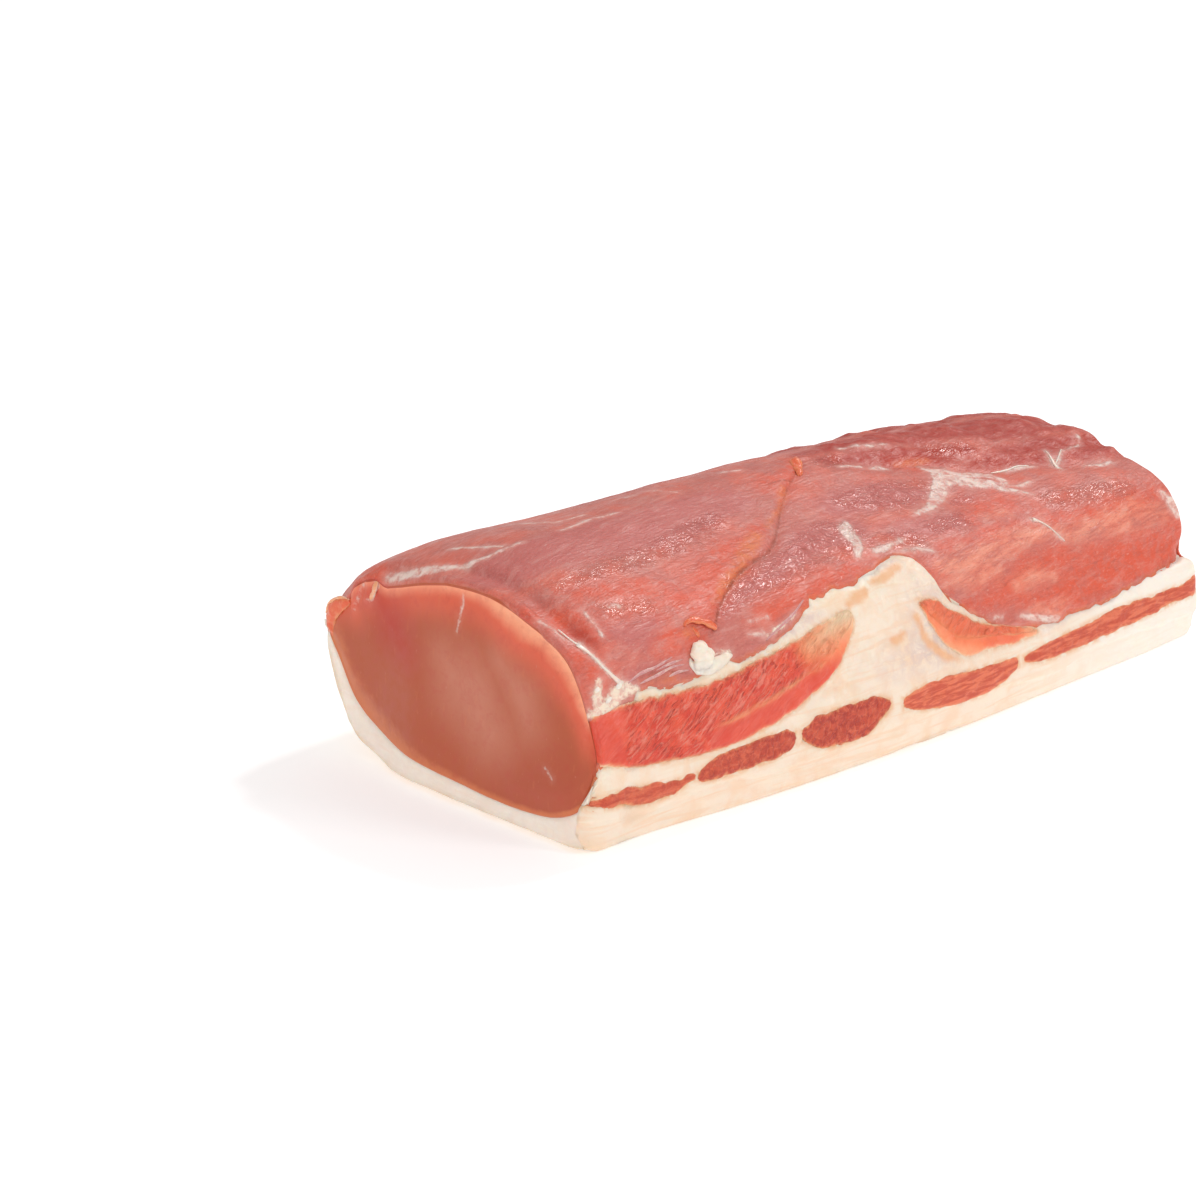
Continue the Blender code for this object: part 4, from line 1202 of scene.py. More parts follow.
# %% [markdown]
# ## The eye muscle
# Its outer sheet runs from the fat's edge on the belly side, over the top, to the chine edge. Its inner
# sheet is the line where it lies on the fat. Towards the far end the muscle is soft enough to hang over
# the ledge of the cap. Relief comes in three sizes: slow swellings, the seam between the two muscles with
# the groove beside the chine muscle, and then wrinkles of a few millimetres. On the near cut two leaves
# of lean stand proud at the chine corner, and light comes through along the rim.

# %% Relief of the eye muscle
# Slow swellings (height, size), and smaller ones that are longer along the loin (height, stretch, size).
SWELL, LONG_SWELL = (0.55, 26.0), (0.22, (1.6, 1, 1), 6.0)
# Above the seam a low ridge follows it. The seam is a fine cut, and from below the muscle sinks towards it.
SEAM_RIDGE, RIDGE_AWAY, RIDGE_WIDTH = 0.35, 3.0, 3.0
SEAM_DEPTH, SEAM_WIDTH, SEAM_SLOPE = 0.5, 0.9, 4.0
# The chine muscle is lumpier than the rest: (height, size, seed) of its lumps. A groove runs below it.
CHINE_LUMPS = ((1.1, 13.0, 35), (0.55, 5.0, 36))
GROOVE_DEPTH, GROOVE_WIDTH = 1.5, 4.5
WRINKLE_HEIGHT = 0.3
# Behind the near rim runs a shallow trough, between these distances up the wall.
NEAR_LIP_UP = (56.0, 70.0, 118.0, 132.0)
TROUGH_DEPTH, TROUGH_AT, TROUGH_WIDTH = 1.9, -134.0, 3.2
# Silver skin and clinging shreds stand proud of the lean.
SILVER_PROUD, CLING_PROUD = 0.2, 0.3
# Towards the far end the belly side hangs over the ledge of the cap.
HANG_RUN = (40.0, 75.0)
HANG_START = np.array([-0.35, 0.95])
WALL_UP = np.stack([STATIONS, Outside(STATIONS).walk[:, (WALL - CORNER) * PER_SPAN]], axis=1)


def hanging_over(out, up):
    """How far each outer point moves so that one round curve, from the fat's edge to the wall, fills the
    corner behind the ledge."""
    low = fat_edge(out.along)[:, None]
    high = read(WALL_UP, out.along)[:, None]
    start, end = out.at(low), out.at(high)
    reach = np.linalg.norm(end - start, axis=2)[..., None]
    ahead = out.at(high + 1.0) - out.at(high - 1.0)
    ahead = ahead / np.linalg.norm(ahead, axis=2)[..., None]
    t = np.clip((up - low) / (high - low), 0.0, 1.0)[..., None]
    curve = eased(t, start, end, reach * HANG_START, reach * ahead)
    share = smooth_step(out.along, *HANG_RUN)[:, None] * (up > low) * (up < high)
    return share[..., None] * (curve - out.at(up))


def eye_relief(points, along, up):
    """How far the lean stands out of the plain form, in mm."""
    wall = wall_relief(points, along, up)
    height, stretch, size = LONG_SWELL
    swell = SWELL[0] * lumps(points, SWELL[1], 31, 2) + height * lumps(points / stretch, size, 32, 2)
    # Next to the fat and the strips the lean shares their relief, so that no gap opens.
    relief = wall + (swell - wall) * smooth_step(up - np.maximum(fat_edge(along), 44.0), 1.0, 12.0)
    seam = stroke_gap(along, up, [SIDE_MARKS["seam"][0]])
    inward = np.clip(seam, 0, FARTHEST)
    above = smooth_step(up - read(SEAM, along), -0.6, 0.6)
    relief += SEAM_RIDGE * above * np.exp(-(((seam - RIDGE_AWAY) / RIDGE_WIDTH) ** 2))
    fall = SEAM_DEPTH * (1.0 - above) * np.exp(-inward / SEAM_SLOPE)
    relief -= SEAM_DEPTH * np.exp(-inward / SEAM_WIDTH) + fall
    groove_up = read(CHINE_GROOVE, along)
    groove = smooth_step(along, 18.0, 40.0) * smooth_step(140.0 - along, 0.0, 25.0)
    groove *= np.exp(-(((up - groove_up) / GROOVE_WIDTH) ** 2))
    chine = smooth_step(up - groove_up, 1.0, 9.0) * smooth_step(along, 15.0, 45.0)
    lumpy = sum(height * lumps(points, size, seed, 2) for height, size, seed in CHINE_LUMPS)
    relief += chine * lumpy - GROOVE_DEPTH * groove
    wet = smooth_step(-stroke_gap(along, up, SIDE_MARKS["wet"]), -2.0, 2.5)
    relief += wet * WRINKLE_HEIGHT * (1.0 - 2.0 * np.abs(lumps(points / [1.8, 1, 1], 4.5, 37, 2)))
    low, full, fade, end = NEAR_LIP_UP
    lip = smooth_step(up, low, full) * smooth_step(end - up, 0.0, end - fade)
    relief -= lip * TROUGH_DEPTH * np.exp(-(((along - TROUGH_AT) / TROUGH_WIDTH) ** 2))
    relief += lip * smooth_step(-137.5 - along, 0.0, 1.5) * (0.5 + 1.1 * lumps(points, 7.0, 38, 2))
    silver = stroke_gap(along, up, SIDE_MARKS["silver"])
    cling = stroke_gap(along, up, SIDE_MARKS["cling"])
    relief += SILVER_PROUD * smooth_step(-silver, -0.8, 0.8) + CLING_PROUD * smooth_step(-cling, -1.2, 1.2)
    relief += smooth_step(-cling, -1.0, 0.8) * 0.25 * lumps(points, 3.2, 33, 2)
    return relief


# %% The eye muscle
EYE_COLUMNS = ((0, 0.0), (148, 0.6), (198, 1.0))
EYE_LAYERS = 56
LEAN_RIM = 1.1
UNDER_FAT = 3.0
EYE_SINK = 1.0
# Without their bend round the patch of fat, the muscle's columns would start this far up.
UNBENT = 30.0
# The cut domes out towards its middle (height, run, lumps), more at the belly corner (height, then where).
DOME, DOME_RUN, DOME_LUMPS = 0.8, 9.0, 0.25
CORNER_DOME, CORNER_SPOT = 0.8, (-46, 18, 14, 10, 1.0)
LEAF_HEIGHT = 1.1
# Painted light coming through the cut in bands: (up, width) along the rim, and (across, width) by the fat.
RIM_BAND = ((20, -12.0), (34, -4.0), (42, 1.6), (52, 3.6), (60, 4.4), (70, 5.0), (92, 4.4), (105, 2.6),
            (120, 2.2), (150, 1.6),
            (168, 0.5), (185, -6.0), (230, -12.0))
FAT_BAND = ((-60, 0.7), (-20, 1.0), (10, 1.6), (40, 5.0), (60, 9.0))


def eye_muscle():
    """The eye muscle's two sheets, its relief and its fields."""
    along, inset = rows_along(LEAN_RIM)
    out = Outside(along)
    edge = fat_edge(along) - UNDER_FAT
    chine = out.chine_edge(FAT_CHINE_DROP) + 1.5
    shares = read(EYE_COLUMNS, np.arange(EYE_COLUMNS[-1][0] + 1))
    # The patch of fat climbs high on the wall: the columns near it bend, and those farther up don't.
    bend = (edge - UNBENT)[:, None] * (1.0 - shares) ** 3
    up = UNBENT + (chine - UNBENT)[:, None] * shares + bend
    outer = out.at(up) - out.outward(up) * end_sink(along[:, None], up)[..., None] + hanging_over(out, up)
    under = underside(out, edge, chine, shares)
    thick = np.linalg.norm(outer - under, axis=2)
    outer, under = rounded(outer, under, inset)
    points, triangles, facing, i, j, k = body_between(along, outer, under, EYE_LAYERS)
    at, high, on_side = along[i], up[i, j], k == 0
    tuck = EYE_SINK * smooth_step(fat_edge(at) - high, 0.0, 2.0)
    share_in = k / (EYE_LAYERS - 1.0)
    from_top, from_fat = share_in * thick[i, j], (1.0 - share_in) * thick[i, j]
    from_rim = np.minimum(from_top, from_fat)
    dome = DOME * smooth_step(from_rim, 0.0, DOME_RUN) + DOME_LUMPS * lumps(points, 18.0, 34, 2)
    face_y, face_z = points[:, 1], points[:, 2]
    dome += CORNER_DOME * spots(face_y, face_z, (CORNER_SPOT,))
    leaf = stroke_gap(face_y, face_z, CORNER_LEAVES)
    near_cut = (k < EYE_LAYERS - 1) & (i == 0)
    leaf_lift = near_cut * LEAF_HEIGHT * smooth_step(-leaf, -0.6, 1.2)
    on_cut = (k < EYE_LAYERS - 1) * dome * smooth_step(from_rim, 0.0, 3.0)
    lift = np.where(on_side, eye_relief(points, at, high) - tuck - pressed_in(at, high), on_cut + leaf_lift)
    points = points + facing * lift[:, None]
    fields = {}
    far_away = np.full(len(points), 30.0)
    for name, strokes in SIDE_MARKS.items():
        side_gap = stroke_gap(at, high, strokes)
        # Zones of the cut fade over four times the run that those of the side do; its silver lines don't.
        cut_gap = stroke_gap(face_y, face_z, CUT_MARKS[name]) if name in CUT_MARKS else far_away
        cut_gap = cut_gap if name == "silver" else cut_gap / 4.0
        fields[name] = np.where(on_side, side_gap, cut_gap)
    # On the cut this field holds the band of painted light coming through the rim and the leaves.
    band = read(RIM_BAND, high) * (1.0 + 0.35 * lumps(points, 9.0, 39, 2))
    by_rim = np.minimum(from_top - band, np.where(near_cut, leaf + 4.0, 30.0))
    fields["peach_sheen_and_rim_light"] = np.where(on_side, fields["peach_sheen_and_rim_light"], by_rim)
    # On the cut the amber field marks painted light coming through the thin lean by the fat.
    fat_band = read(FAT_BAND, face_y)
    by_fat = np.minimum(fields["amber"], high - fat_edge(at))
    fields["amber"] = np.where(on_side, by_fat, 1.8 * (from_fat / fat_band - 1.0))
    from_end = np.minimum(at + HALF, HALF - at)
    fields["cut"] = np.where(on_side, from_end, -1.0)
    return piece("eye_of_lean", points, triangles, fields, LEAN_PAINT, ["eye_muscle"])


eye_muscle()

# %% [markdown]
# ## Strips and streaks of lean
# Each strip is a lens let into the wall. Its outer sheet stands a fraction of a millimetre proud in the
# middle and dives under the fat at its outline, so that the edge which shows is a real crossing of two
# surfaces. The rib lean has long slanting fibres, which are ridges here.

# %% Rib and streak paint
RIB_RED = seen(240, 90, 60)
RIB_DEEP = seen(224, 66, 44)
# Painted sheen: the pink highlight on the fibres' ridges.
RIB_SHEEN = seen(238, 134, 114)
RIB_SMOOTH = seen(222, 80, 60)
# Painted shade in the grooves between the fibres.
RIB_GAP_SHADE = seen(192, 58, 42)
RIB_ORANGE = seen(252, 132, 84)
RIB_AMBER = seen(248, 176, 120)
RIB_THIN = seen(252, 190, 146)
RIB_PALE = seen(248, 214, 176)
STREAK_RED = seen(206, 80, 52)
STREAK_DARK = seen(176, 50, 34)
STREAK_ORANGE = seen(236, 124, 86)


def rib_paint():
    """Long slanting red fibres, painted pink sheen and shade, an amber edge where the lean thins over the
    fat.
    """
    paint, tree, shader = tissue("rib lean", 0.38, 0.5, 2.2, FLESH_RADIUS, 0.2)
    place = tree.millimetres()
    slanting = tree.stretched(place, (0, -32, 0), (5.0, 1.0, 1.0))
    fibres = tree.noise(slanting, 1.6, 4.0, 0.62, 1.4)
    band = tree.noise(place, 8.0, 3.0, 0.6, 0.5)
    smooth_band = tree.remap(tree.field("band"), 0.0, 1.0)
    gaps = tree.noise(tree.stretched(place, (0, -38, 0), (4.0, 1.0, 1.0)), 2.4, 4.0, 0.6, 2.0)
    gaps = tree.times(tree.remap(gaps, 0.54, 0.66), tree.remap(smooth_band, 0.0, 1.0, 0.8, 0.1))
    thin, amber = tree.field("thin"), zone(tree, place, "edge_gap", 1.8, 1.8, 2.6)
    thinnest = tree.plus(tree.remap(tree.plus(thin, tree.times(band, 4.0)), 0.5, -6.0),
                         zone(tree, place, "edge_gap", 1.0, 0.7, 1.8))
    colour = tree.coats(
        RIB_RED,
        (tree.remap(band, 0.36, 0.64), RIB_DEEP),
        (tree.times(smooth_band, 0.5), RIB_SMOOTH),
        # Painted sheen on the fibres.
        (tree.times(tree.remap(fibres, 0.46, 0.64), tree.remap(smooth_band, 0.0, 1.0, 0.8, 0.15)), RIB_SHEEN),
        # Painted shade in the gaps, which the bump also sinks.
        (gaps, RIB_GAP_SHADE),
        (tree.times(tree.field("orange"), 0.9), RIB_ORANGE),
        (tree.times(tree.field("line"), tree.remap(band, 0.34, 0.56, 0.1, 0.6)), RIB_AMBER),
        (tree.times(amber, tree.remap(band, 0.36, 0.6, 0.5, 0.95)), RIB_AMBER),
        (tree.times(tree.remap(thin, 9.0, 1.0), 0.9), RIB_ORANGE),
        (tree.times(zone(tree, place, "thin", 3.0, 5.0, 4.0), 0.85), RIB_THIN),
        (tree.math("MINIMUM", thinnest, 0.9), RIB_PALE),
    )
    tree.feed(shader.inputs["Base Color"], colour)
    tree.feed(shader.inputs["Roughness"], tree.remap(band, 0.35, 0.65, 0.28, 0.45))
    fine = tree.noise(slanting, 0.7, 2.0, 0.5)
    height = tree.times(fibres, tree.remap(smooth_band, 0.0, 1.0, 1.5, 0.3))
    height = tree.plus(height, tree.plus(tree.times(gaps, -0.5), tree.times(fine, 0.25)))
    bump(tree, height, shader, 0.8)
    return paint


def streak_paint():
    """Bundles of dark red fibres cut across, with orange between them and at the thin ends."""
    paint, tree, shader = tissue("streak lean", 0.42, 0.45, 1.8, FLESH_RADIUS, 0.18)
    place = tree.millimetres()
    mottle = tree.noise(place, 2.2, 4.0, 0.7, 0.4)
    drift = tree.node("ShaderNodeTexNoise", sockets={"Vector": place, "Scale": 0.5}).outputs["Color"]
    shaken = tree.node("ShaderNodeVectorMath", place, drift, operation="ADD").outputs[0]
    bundles = tree.node("ShaderNodeTexVoronoi", feature="DISTANCE_TO_EDGE",
                        sockets={"Vector": shaken, "Scale": 0.36})
    between = tree.remap(bundles.outputs["Distance"], 0.14, 0.0)
    lengthwise = tree.noise(tree.stretched(place, (0, 0, 0), (6.0, 2.0, 1.0)), 1.4, 3.0, 0.6, 0.6)
    amber = zone(tree, place, "edge_gap", 1.2, 0.9, 1.8)
    colour = tree.coats(
        STREAK_DARK,
        (tree.remap(mottle, 0.36, 0.62), STREAK_RED),
        (tree.times(between, tree.remap(mottle, 0.4, 0.6, 0.0, 0.35)), STREAK_ORANGE),
        (tree.field("orange"), tree.mix(tree.remap(lengthwise, 0.4, 0.62), STREAK_RED, STREAK_ORANGE)),
        (tree.times(amber, tree.remap(mottle, 0.36, 0.58, 0.3, 0.9)), RIB_AMBER),
    )
    tree.feed(shader.inputs["Base Color"], colour)
    height = tree.plus(tree.times(mottle, 0.5), tree.times(lengthwise, 0.25))
    height = tree.plus(height, tree.times(between, tree.remap(tree.field("orange"), 0.0, 1.0, -0.2, 0.0)))
    bump(tree, height, shader, 0.8)
    return paint


RIB_PAINT = rib_paint()
STREAK_PAINT = streak_paint()

# %% Strips and streaks of lean
# Where the rib lean is so thin over the fat that it looks orange and then cream.
THIN_ENDS = (((-22, 54, 9), (-31, 50, 7.5), (-41, 46.5, 4.5), (-50, 44, 1.5)),
             ((0, 33, 5), (8, 26, 3), (20, 23, 1)),
             ((60, 24, 6), (50, 24, 2)))
STREAK_TONES = (0.55, 0.15, 0.0, 0.85, 0.75)
STRIP_STEP = 0.55
LENS_LAYERS = 6
# A tip that doesn't reach a cut closes round over this run.
TIP_RUN = 2.5
# The sheets reach this far past the outline, where they have dived under the fat by so much.
PAST_EDGE, DIVED = 0.8, 0.9
# Turns the slanting fibres of the rib lean level, so that ridges can be stretched along them.
FIBRE_TURN = np.array([[0.83, 0.0, 0.55], [0.0, 1.0, 0.0], [-0.55, 0.0, 0.83]]).T
# The smooth band along the low edge: its share of the width, and the places along it fades in between.
BAND_SHARE, BAND_FROM = 0.4, (-104.0, -86.0)


def strip_outline(outline, seed, waver):
    """Places along a strip, with its low and high edges there and half its width."""
    ends = (max(outline[0][0], 0.4 - HALF), min(outline[-1][0], HALF - 0.4))
    along = np.linspace(*ends, round((ends[1] - ends[0]) / STRIP_STEP) + 1)
    places, low, high = np.transpose(outline)
    line = np.stack([along, np.zeros_like(along), np.zeros_like(along)], axis=-1)
    low = table_at(places, low, along) + waver * lumps(line, 5.0, seed, 3)
    # The high edge is scalloped: round bundles with sharp notches between them.
    scallops = 2.0 * np.abs(lumps(line, 6.5, seed + 1)) - 0.6 + 0.4 * lumps(line, 3.0, seed + 5, 2)
    high = table_at(places, high, along) + waver * scallops
    half = np.maximum(0.5 * (high - low), 0.3)
    # The tips close round: the last millimetres narrow to a point where the strip doesn't reach a cut.
    for tip, at_cut in ((along - along[0], outline[0][0] < -HALF),
                        (along[-1] - along, outline[-1][0] > HALF)):
        if not at_cut:
            t = np.clip(tip / TIP_RUN, 0.0, 1.0)
            half = half * np.sqrt(t * (2.0 - t) + 0.004)
    return along, low, high, half


def strip_fields(points, along, up, share_up, gap, tone, seed):
    """What the paint of a strip is steered by; share_up runs from 0 at its low edge to 1 at the high one."""
    # The smooth band starts some way from the near cut, where all the lean is smooth.
    banded = smooth_step(along, *BAND_FROM)
    from_band = BAND_SHARE - share_up + 0.05 * lumps(points, 9.0, seed + 4)
    near_smooth = smooth_step(-along + 3.0 * lumps(points, 6.0, seed + 6), 126.0, 133.0)
    return {
        "edge_gap": gap - 0.3,
        "band": np.maximum(smooth_step(from_band, -0.08, 0.08) * banded, near_smooth),
        "line": np.exp(-((from_band / 0.035) ** 2)) * banded**3,
        "orange": np.full(len(points), tone),
        "thin": stroke_gap(along, up, THIN_ENDS),
    }


def strip(name, outline, node, paint, proud, depth, seed, fibre_height, tone, waver):
    """A lens of lean in the belly wall: across it runs from edge to edge, along it from tip to tip."""
    along, low, high, half = strip_outline(outline, seed, waver)
    middle = 0.5 * (low + high)
    across = np.sin(np.linspace(-0.5, 0.5, max(16, round(2 * half.max() / STRIP_STEP))) * math.pi)
    up = middle[:, None] + (half + PAST_EDGE)[:, None] * across
    out = Outside(along)
    gap = half[:, None] - np.abs(up - middle[:, None])
    plain = in_space(along, out.at(up))
    rows = np.repeat(along, len(across))
    relief = wall_relief(plain.reshape(-1, 3), rows, up.ravel()).reshape(up.shape)
    stand = relief + proud * smooth_step(gap, 0.0, 1.6) - DIVED * smooth_step(-gap, -0.1, 0.8)
    stand = stand - fat_rim(rows, up.ravel()).reshape(up.shape)
    outer = out.at(up) + out.outward(up) * stand[..., None]
    deep = np.minimum(depth, 0.5 + 2.0 * half)[:, None] * (1.0 - across**2) + 0.95
    under = out.at(up) - out.outward(up) * deep[..., None]
    points, triangles, facing, i, j, k = body_between(along, outer, under, LENS_LAYERS)
    slant = points @ FIBRE_TURN
    ridges = lumps(slant / [4.0, 1.0, 1.0], 2.4, seed + 2, 2)
    lift = 0.2 * lumps(points, 9.0, seed + 3, 2) + fibre_height * ridges
    lift *= (k == 0) * smooth_step(gap[i, j], 0.0, 2.0)
    points = points + facing * lift[:, None]
    share_up = (up[i, j] - low[i]) / np.maximum(high[i] - low[i], 0.5)
    fields = strip_fields(points, along[i], up[i, j], share_up, gap[i, j], tone, seed)
    return piece(name, points, triangles, fields, paint, [node])


strip("rib_lean_strip", RIB_FRONT, "rib_lean_front", RIB_PAINT, 0.8, 4.2, 41, 0.4, 0.0, 0.4)
strip("rib_lean_corner", RIB_REAR, "rib_lean_rear", RIB_PAINT, 0.6, 4.2, 51, 0.15, 0.6, 0.4)
for number, (outline, tone) in enumerate(zip(STREAKS, STREAK_TONES), start=1):
    strip(f"streak_{number}_of_lean", outline, f"cap_streak_{number}", STREAK_PAINT,
          0.12, 5.0, 60 + 7 * number, 0.08, tone, 0.45 if number > 3 else 0.8)

# %% [markdown]
# ## Small pieces
# A boned loin is never clean: a knob of fat is left where a rib was, crumbs of fat, folds of membrane and
# strands of sinew cling along the strip of rib lean, flaps of lean stand up at both ends of the seam, and
# an ear of lean with pale rims hangs at the chine corner of the near cut. Each is a tongue: a flattened
# tube that swells and narrows along a path, closed at both ends.

# %% Tongues
TONGUE_SIDES = 14
TONGUE_SPAN = 7


def smooth_path(rows):
    """The columns of some rows of keys, read closely along the smooth path that runs through them all."""
    rows = np.asarray(rows, float)
    keys = np.concatenate([[2 * rows[0] - rows[1]], rows, [2 * rows[-1] - rows[-2]]])
    return smooth_lines(keys[None], TONGUE_SPAN)[0].T


def on_outside(rows):
    """A path on the dressed eye muscle from rows (along, up, lift, half width, half thickness, tilt)."""
    along, up, lift, half, thick, tilt = smooth_path(rows)
    out = Outside(along)
    base = in_space(along, out.at(up[:, None]))[:, 0]
    away = np.pad(out.outward(up[:, None])[:, 0], ((0, 0), (1, 0)))
    return base + away * (lift + eye_relief(base, along, up))[:, None], away, half, thick, tilt


def on_near_cut(rows):
    """A path on the near cut from rows (across, height, lift, half width, half thickness, tilt)."""
    across, height, lift, half, thick, tilt = smooth_path(rows)
    centre = ends_shaped(np.stack([-HALF - lift, across, height], axis=-1))
    return centre, np.tile([-1.0, 0.0, 0.0], (len(centre), 1)), half, thick, tilt


def tongue(path, seed, rough):
    """A closed tube along a path. Its section is an ellipse whose broad side lies on the meat, tilted by
    so many degrees about the path, with small lumps; a point closes each end."""
    centre, away, half, thick, tilt = path
    run = np.gradient(centre, axis=0)
    run /= np.linalg.norm(run, axis=1)[:, None]
    side = np.cross(run, away)
    side /= np.linalg.norm(side, axis=1)[:, None]
    away = np.cross(side, run)
    tilt = np.radians(tilt)[:, None]
    broad = side * np.cos(tilt) + away * np.sin(tilt)
    narrow = away * np.cos(tilt) - side * np.sin(tilt)
    turn = np.arange(TONGUE_SIDES) * math.tau / TONGUE_SIDES
    half, thick = np.maximum(half, 0.1)[:, None], np.maximum(thick, 0.08)[:, None]
    body = centre[:, None] + broad[:, None] * (half * np.cos(turn))[..., None]
    body = body + narrow[:, None] * (thick * np.sin(turn))[..., None]
    number = np.arange(body.shape[0] * TONGUE_SIDES).reshape(-1, TONGUE_SIDES)
    number = np.concatenate([number, number[:, :1]], axis=1)
    near_pole, far_pole = number.max() + 1, number.max() + 2
    first, last = number[0], number[-1]
    near_fan = np.stack([first[:-1], first[1:], np.full(TONGUE_SIDES, near_pole)], axis=1)
    far_fan = np.stack([last[1:], last[:-1], np.full(TONGUE_SIDES, far_pole)], axis=1)
    triangles = np.concatenate([two_triangles(number), near_fan, far_fan])
    points = np.concatenate([body.reshape(-1, 3), centre[[0, -1]]])
    triangles = facing_out(points, triangles)
    room = np.concatenate([np.repeat(np.minimum(half, thick)[:, 0], TONGUE_SIDES), [0.0, 0.0]])
    points = points + normals(points, triangles) * (rough * room * lumps(points, 2.2, seed, 2))[:, None]
    edge = np.concatenate([np.tile(np.cos(turn), body.shape[0]), [0.0, 0.0]])
    return points, triangles, edge


def tongues(name, place, paths, paint, seed, rough=0.5, fields=None):
    """One object from several tongues of one kind, each placed by its rows."""
    points, triangles, edges = [], [], []
    for number, rows in enumerate(paths):
        body, faces, edge = tongue(place(rows), seed + number, rough)
        triangles.append(faces + sum(map(len, points)))
        points.append(body)
        edges.append(edge)
    points, edges = np.concatenate(points), np.concatenate(edges)
    values = {field: np.full(len(points), float(value)) for field, value in (fields or {}).items()}
    return piece(name, points, np.concatenate(triangles), {**values, "edge": edges}, paint, [])


# %% Fat left on the lean
ON_FAT = {"lean_gap": 6.0, "skin": 0.0, "pale": 0.4, "stain_gap": 30.0, "strip_gap": 9.0}
KNOB = (
    ((-94, 46.6, -0.2, 1.6, 0.8, 0), (-93.8, 48.4, 0.6, 3.2, 1.4, 0), (-93.2, 50.8, 1.0, 3.8, 1.8, 0),
     (-92.4, 53.2, 0.9, 3.4, 1.6, 0), (-91.8, 55, 0.5, 2.2, 1.1, 0), (-91.6, 56, 0.0, 0.6, 0.4, 0)),
    ((-97.2, 51.6, -0.3, 0.4, 0.3, 0), (-96.8, 49.4, 0.0, 1.3, 0.6, 0), (-95, 47.6, 0.2, 2.0, 0.8, 0),
     (-91, 47, 0.2, 2.3, 0.9, 0), (-87, 47.8, 0.2, 2.2, 0.9, 0), (-83.5, 48.6, 0.1, 1.4, 0.7, 0),
     (-80.6, 48.6, -0.3, 0.4, 0.3, 0)),
)
# Crumbs: (along, up, half length, half width).
CRUMBS = ((-133, 46.5, 1.4, 0.8), (-128, 49.8, 1.2, 0.8), (-136.5, 50.5, 0.9, 0.8))


def crumb(along, up, length, half):
    """A short tongue along the loin, climbing a little."""
    return ((along - length, up - 0.5, 0.0, 0.3 * half, 0.2 * half, 0),
            (along - 0.4 * length, up - 0.2, 0.2, half, 0.6 * half, 0),
            (along + 0.4 * length, up + 0.3, 0.2, 0.9 * half, 0.6 * half, 0),
            (along + length, up + 0.6, 0.0, 0.3 * half, 0.2 * half, 0))


tongues("knob_of_fat", on_outside, KNOB, FAT_PAINT, 200, fields=ON_FAT)
crumb_rows = [crumb(*spot) for spot in CRUMBS]
tongues("crumbs_of_fat", on_outside, crumb_rows, FAT_PAINT, 220, 0.6, ON_FAT)

# %% Leaves, folds and strands
FLAP_ORANGE = seen(228, 98, 56)
FLAP_PALE = seen(240, 166, 118)
FOLD_LILAC = seen(206, 138, 136)
SINEW_WHITE = seen(244, 222, 208)


def shred_paint(name, body, rim, rim_share):
    """Thin moist tissue: the body's colour, mottled, and a paler rim where it is thinnest."""
    paint, tree, shader = tissue(name, 0.3, 0.6, 1.6, FLESH_RADIUS, 0.25)
    place = tree.millimetres()
    mottle = tree.noise(place, 2.0, 3.0, 0.6, 0.3)
    edge = tree.remap(tree.math("ABSOLUTE", tree.field("edge")), 0.55, 1.0)
    share = tree.plus(tree.times(edge, rim_share), tree.remap(mottle, 0.45, 0.7, 0.0, 0.35))
    tree.feed(shader.inputs["Base Color"], tree.mix(share, body, rim))
    bump(tree, tree.times(mottle, 0.4), shader, 0.7)
    return paint


FLAPS = (
    ((-95, 61.5, 0.0, 0.3, 0.3, 0), (-92.5, 62.6, 0.4, 1.0, 0.7, 15), (-89.5, 62, 0.6, 1.3, 0.8, 20),
     (-86, 59.6, 0.6, 1.3, 0.8, 20), (-82.5, 58.6, 0.1, 0.4, 0.3, 0)),
    ((7, 110.5, 0.0, 0.3, 0.3, 0), (9.5, 113.5, 0.5, 1.6, 0.9, 0), (13, 118, 0.6, 1.8, 1.0, 0),
     (16.5, 121, 0.1, 0.5, 0.4, 0)),
    ((-92, 60.5, 0.0, 0.3, 0.2, 0), (-91.5, 58.5, 0.1, 0.7, 0.4, 0), (-91, 57, 0.0, 0.5, 0.3, 0)),
)
EAR = (
    ((55.5, 51.6, -0.2, 0.8, 0.5, 0), (59, 49.6, 0.2, 2.2, 0.9, 0), (63, 46.4, 0.3, 2.8, 1.1, 0),
     (64.8, 42, 0.1, 2.2, 0.9, 0),
     (64, 37.5, -0.2, 0.8, 0.4, 0)),
)
PALE_RIMS = (
    ((42.2, 62.4, -0.6, 0.4, 0.3, 0), (42.4, 60.4, 0.5, 1.0, 0.5, 0), (43.2, 57.6, 0.7, 0.8, 0.5, 0),
     (45, 55.4, 0.3, 0.8, 0.5, 0), (46.4, 54.6, -0.3, 0.3, 0.2, 0)),
    ((55.5, 52.4, 0.0, 0.3, 0.3, 0), (60, 51.6, 0.4, 0.6, 0.5, 0), (65, 48.4, 0.4, 0.6, 0.5, 0),
     (67, 44.5, 0.0, 0.3, 0.3, 0)),
)
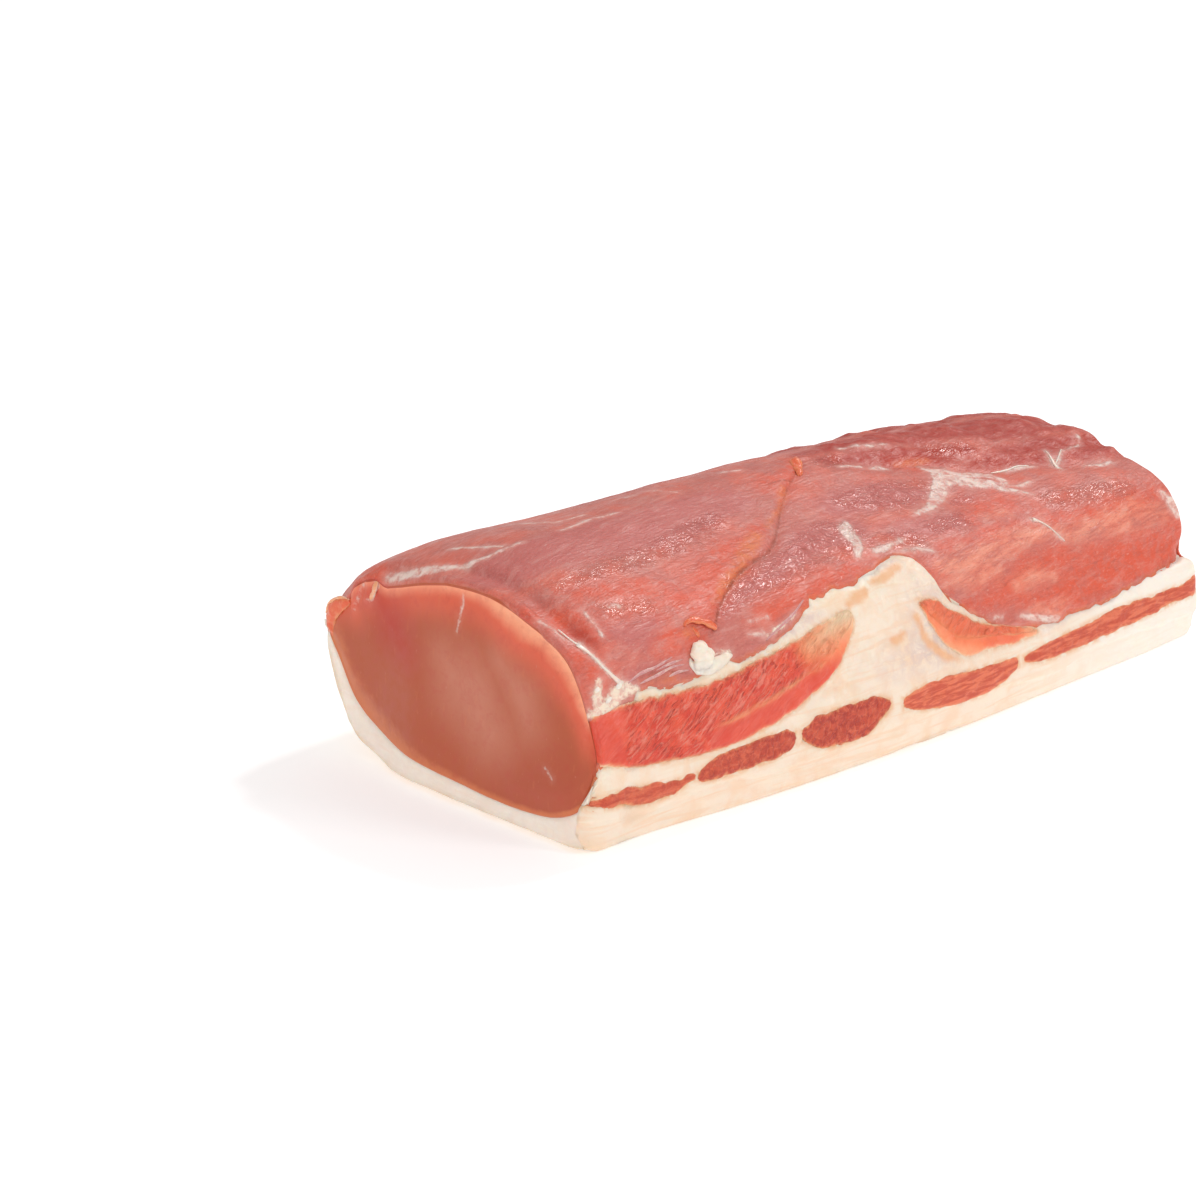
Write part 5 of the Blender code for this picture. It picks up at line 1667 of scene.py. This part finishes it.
FOLDS = (
    ((-124, 49.8, -0.2, 0.3, 0.2, 0), (-118, 51.6, 0.05, 0.5, 0.25, 0), (-111, 52.2, 0.05, 0.4, 0.25, 0),
     (-104, 53.6, -0.2, 0.2, 0.2, 0)),
    ((-121, 48.4, -0.2, 0.3, 0.2, 0), (-113, 49.4, 0.05, 0.5, 0.25, 0), (-105, 50.6, 0.05, 0.4, 0.25, 0),
     (-99.5, 50.2, -0.2, 0.2, 0.2, 0)),
    ((-112, 51, -0.2, 0.2, 0.2, 0), (-106, 51.8, 0.05, 0.4, 0.2, 0), (-100, 52, -0.2, 0.2, 0.2, 0)),
    ((-108, 48, -0.2, 0.2, 0.2, 0), (-103, 48.6, 0.05, 0.4, 0.2, 0), (-99, 48.2, -0.2, 0.2, 0.2, 0)),
    ((-66, 49.8, -0.1, 0.2, 0.2, 0), (-58, 52.6, 0.05, 0.45, 0.25, 0), (-50, 55.4, 0.05, 0.4, 0.25, 0),
     (-44, 58.4, -0.1, 0.2, 0.2, 0)),
)
SINEWS = (
    ((-135, 66, 0.0, 0.9, 0.2, 0), (-133.6, 62, 0.05, 0.5, 0.25, 0), (-131.8, 57, 0.05, 0.4, 0.25, 0),
     (-129, 53, 0.05, 0.6, 0.3, 0), (-126.5, 50, 0.0, 1.2, 0.3, 0)),
    ((-137.5, 73, 0.0, 0.2, 0.2, 0), (-136, 69, 0.05, 0.3, 0.2, 0), (-134.5, 65, 0.0, 0.5, 0.2, 0)),
    ((73, 61.5, 0.1, 0.7, 0.4, 0), (75.5, 59.5, 0.1, 0.35, 0.25, 0), (80, 51, 0.0, 0.15, 0.15, 0)),
    ((84, 91.5, 0.0, 0.2, 0.2, 0), (91, 91, 0.1, 0.5, 0.3, 0), (96, 91.6, 0.1, 0.4, 0.25, 0),
     (100, 90.4, 0.0, 0.2, 0.2, 0)),
    ((112, 95, 0.0, 0.2, 0.2, 0), (109.5, 89, 0.1, 0.45, 0.25, 0), (108, 84.5, 0.0, 0.5, 0.2, 0)),
    ((118, 93, 0.0, 0.2, 0.2, 0), (113.5, 90, 0.1, 0.3, 0.25, 0), (109.5, 87.5, 0.0, 0.2, 0.2, 0)),
)
FLAP_PAINT = shred_paint("orange flap", FLAP_ORANGE, FLAP_PALE, 0.5)
RIM_PAINT = shred_paint("pale rim", FLAP_PALE, SINEW_WHITE, 0.5)
FOLD_PAINT = shred_paint("lilac membrane", FOLD_LILAC, SINEW_WHITE, 0.35)
SINEW_PAINT = shred_paint("white sinew", SINEW_WHITE, VEIL, 0.4)
tongues("flaps_of_lean", on_outside, FLAPS, FLAP_PAINT, 240)
tongues("ear_of_lean", on_near_cut, EAR, FLAP_PAINT, 250)
tongues("pale_rims", on_near_cut, PALE_RIMS, RIM_PAINT, 270, 0.3)
tongues("folds_of_membrane", on_outside, FOLDS, FOLD_PAINT, 280)
tongues("sinews", on_outside, SINEWS, SINEW_PAINT, 290)

# %% [markdown]
# ## Sizes
# The dressed loin should fill the same box as the imported one. The sizes of both boxes are printed.

# %% Sizes
dressed_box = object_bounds()
boxes = {"cad": [list(corner) for corner in cad_box], "visual": [list(corner) for corner in dressed_box]}
for label, (low, high) in boxes.items():
    print(label, "mm:", [round((b - a) / MM, 1) for a, b in zip(low, high)])
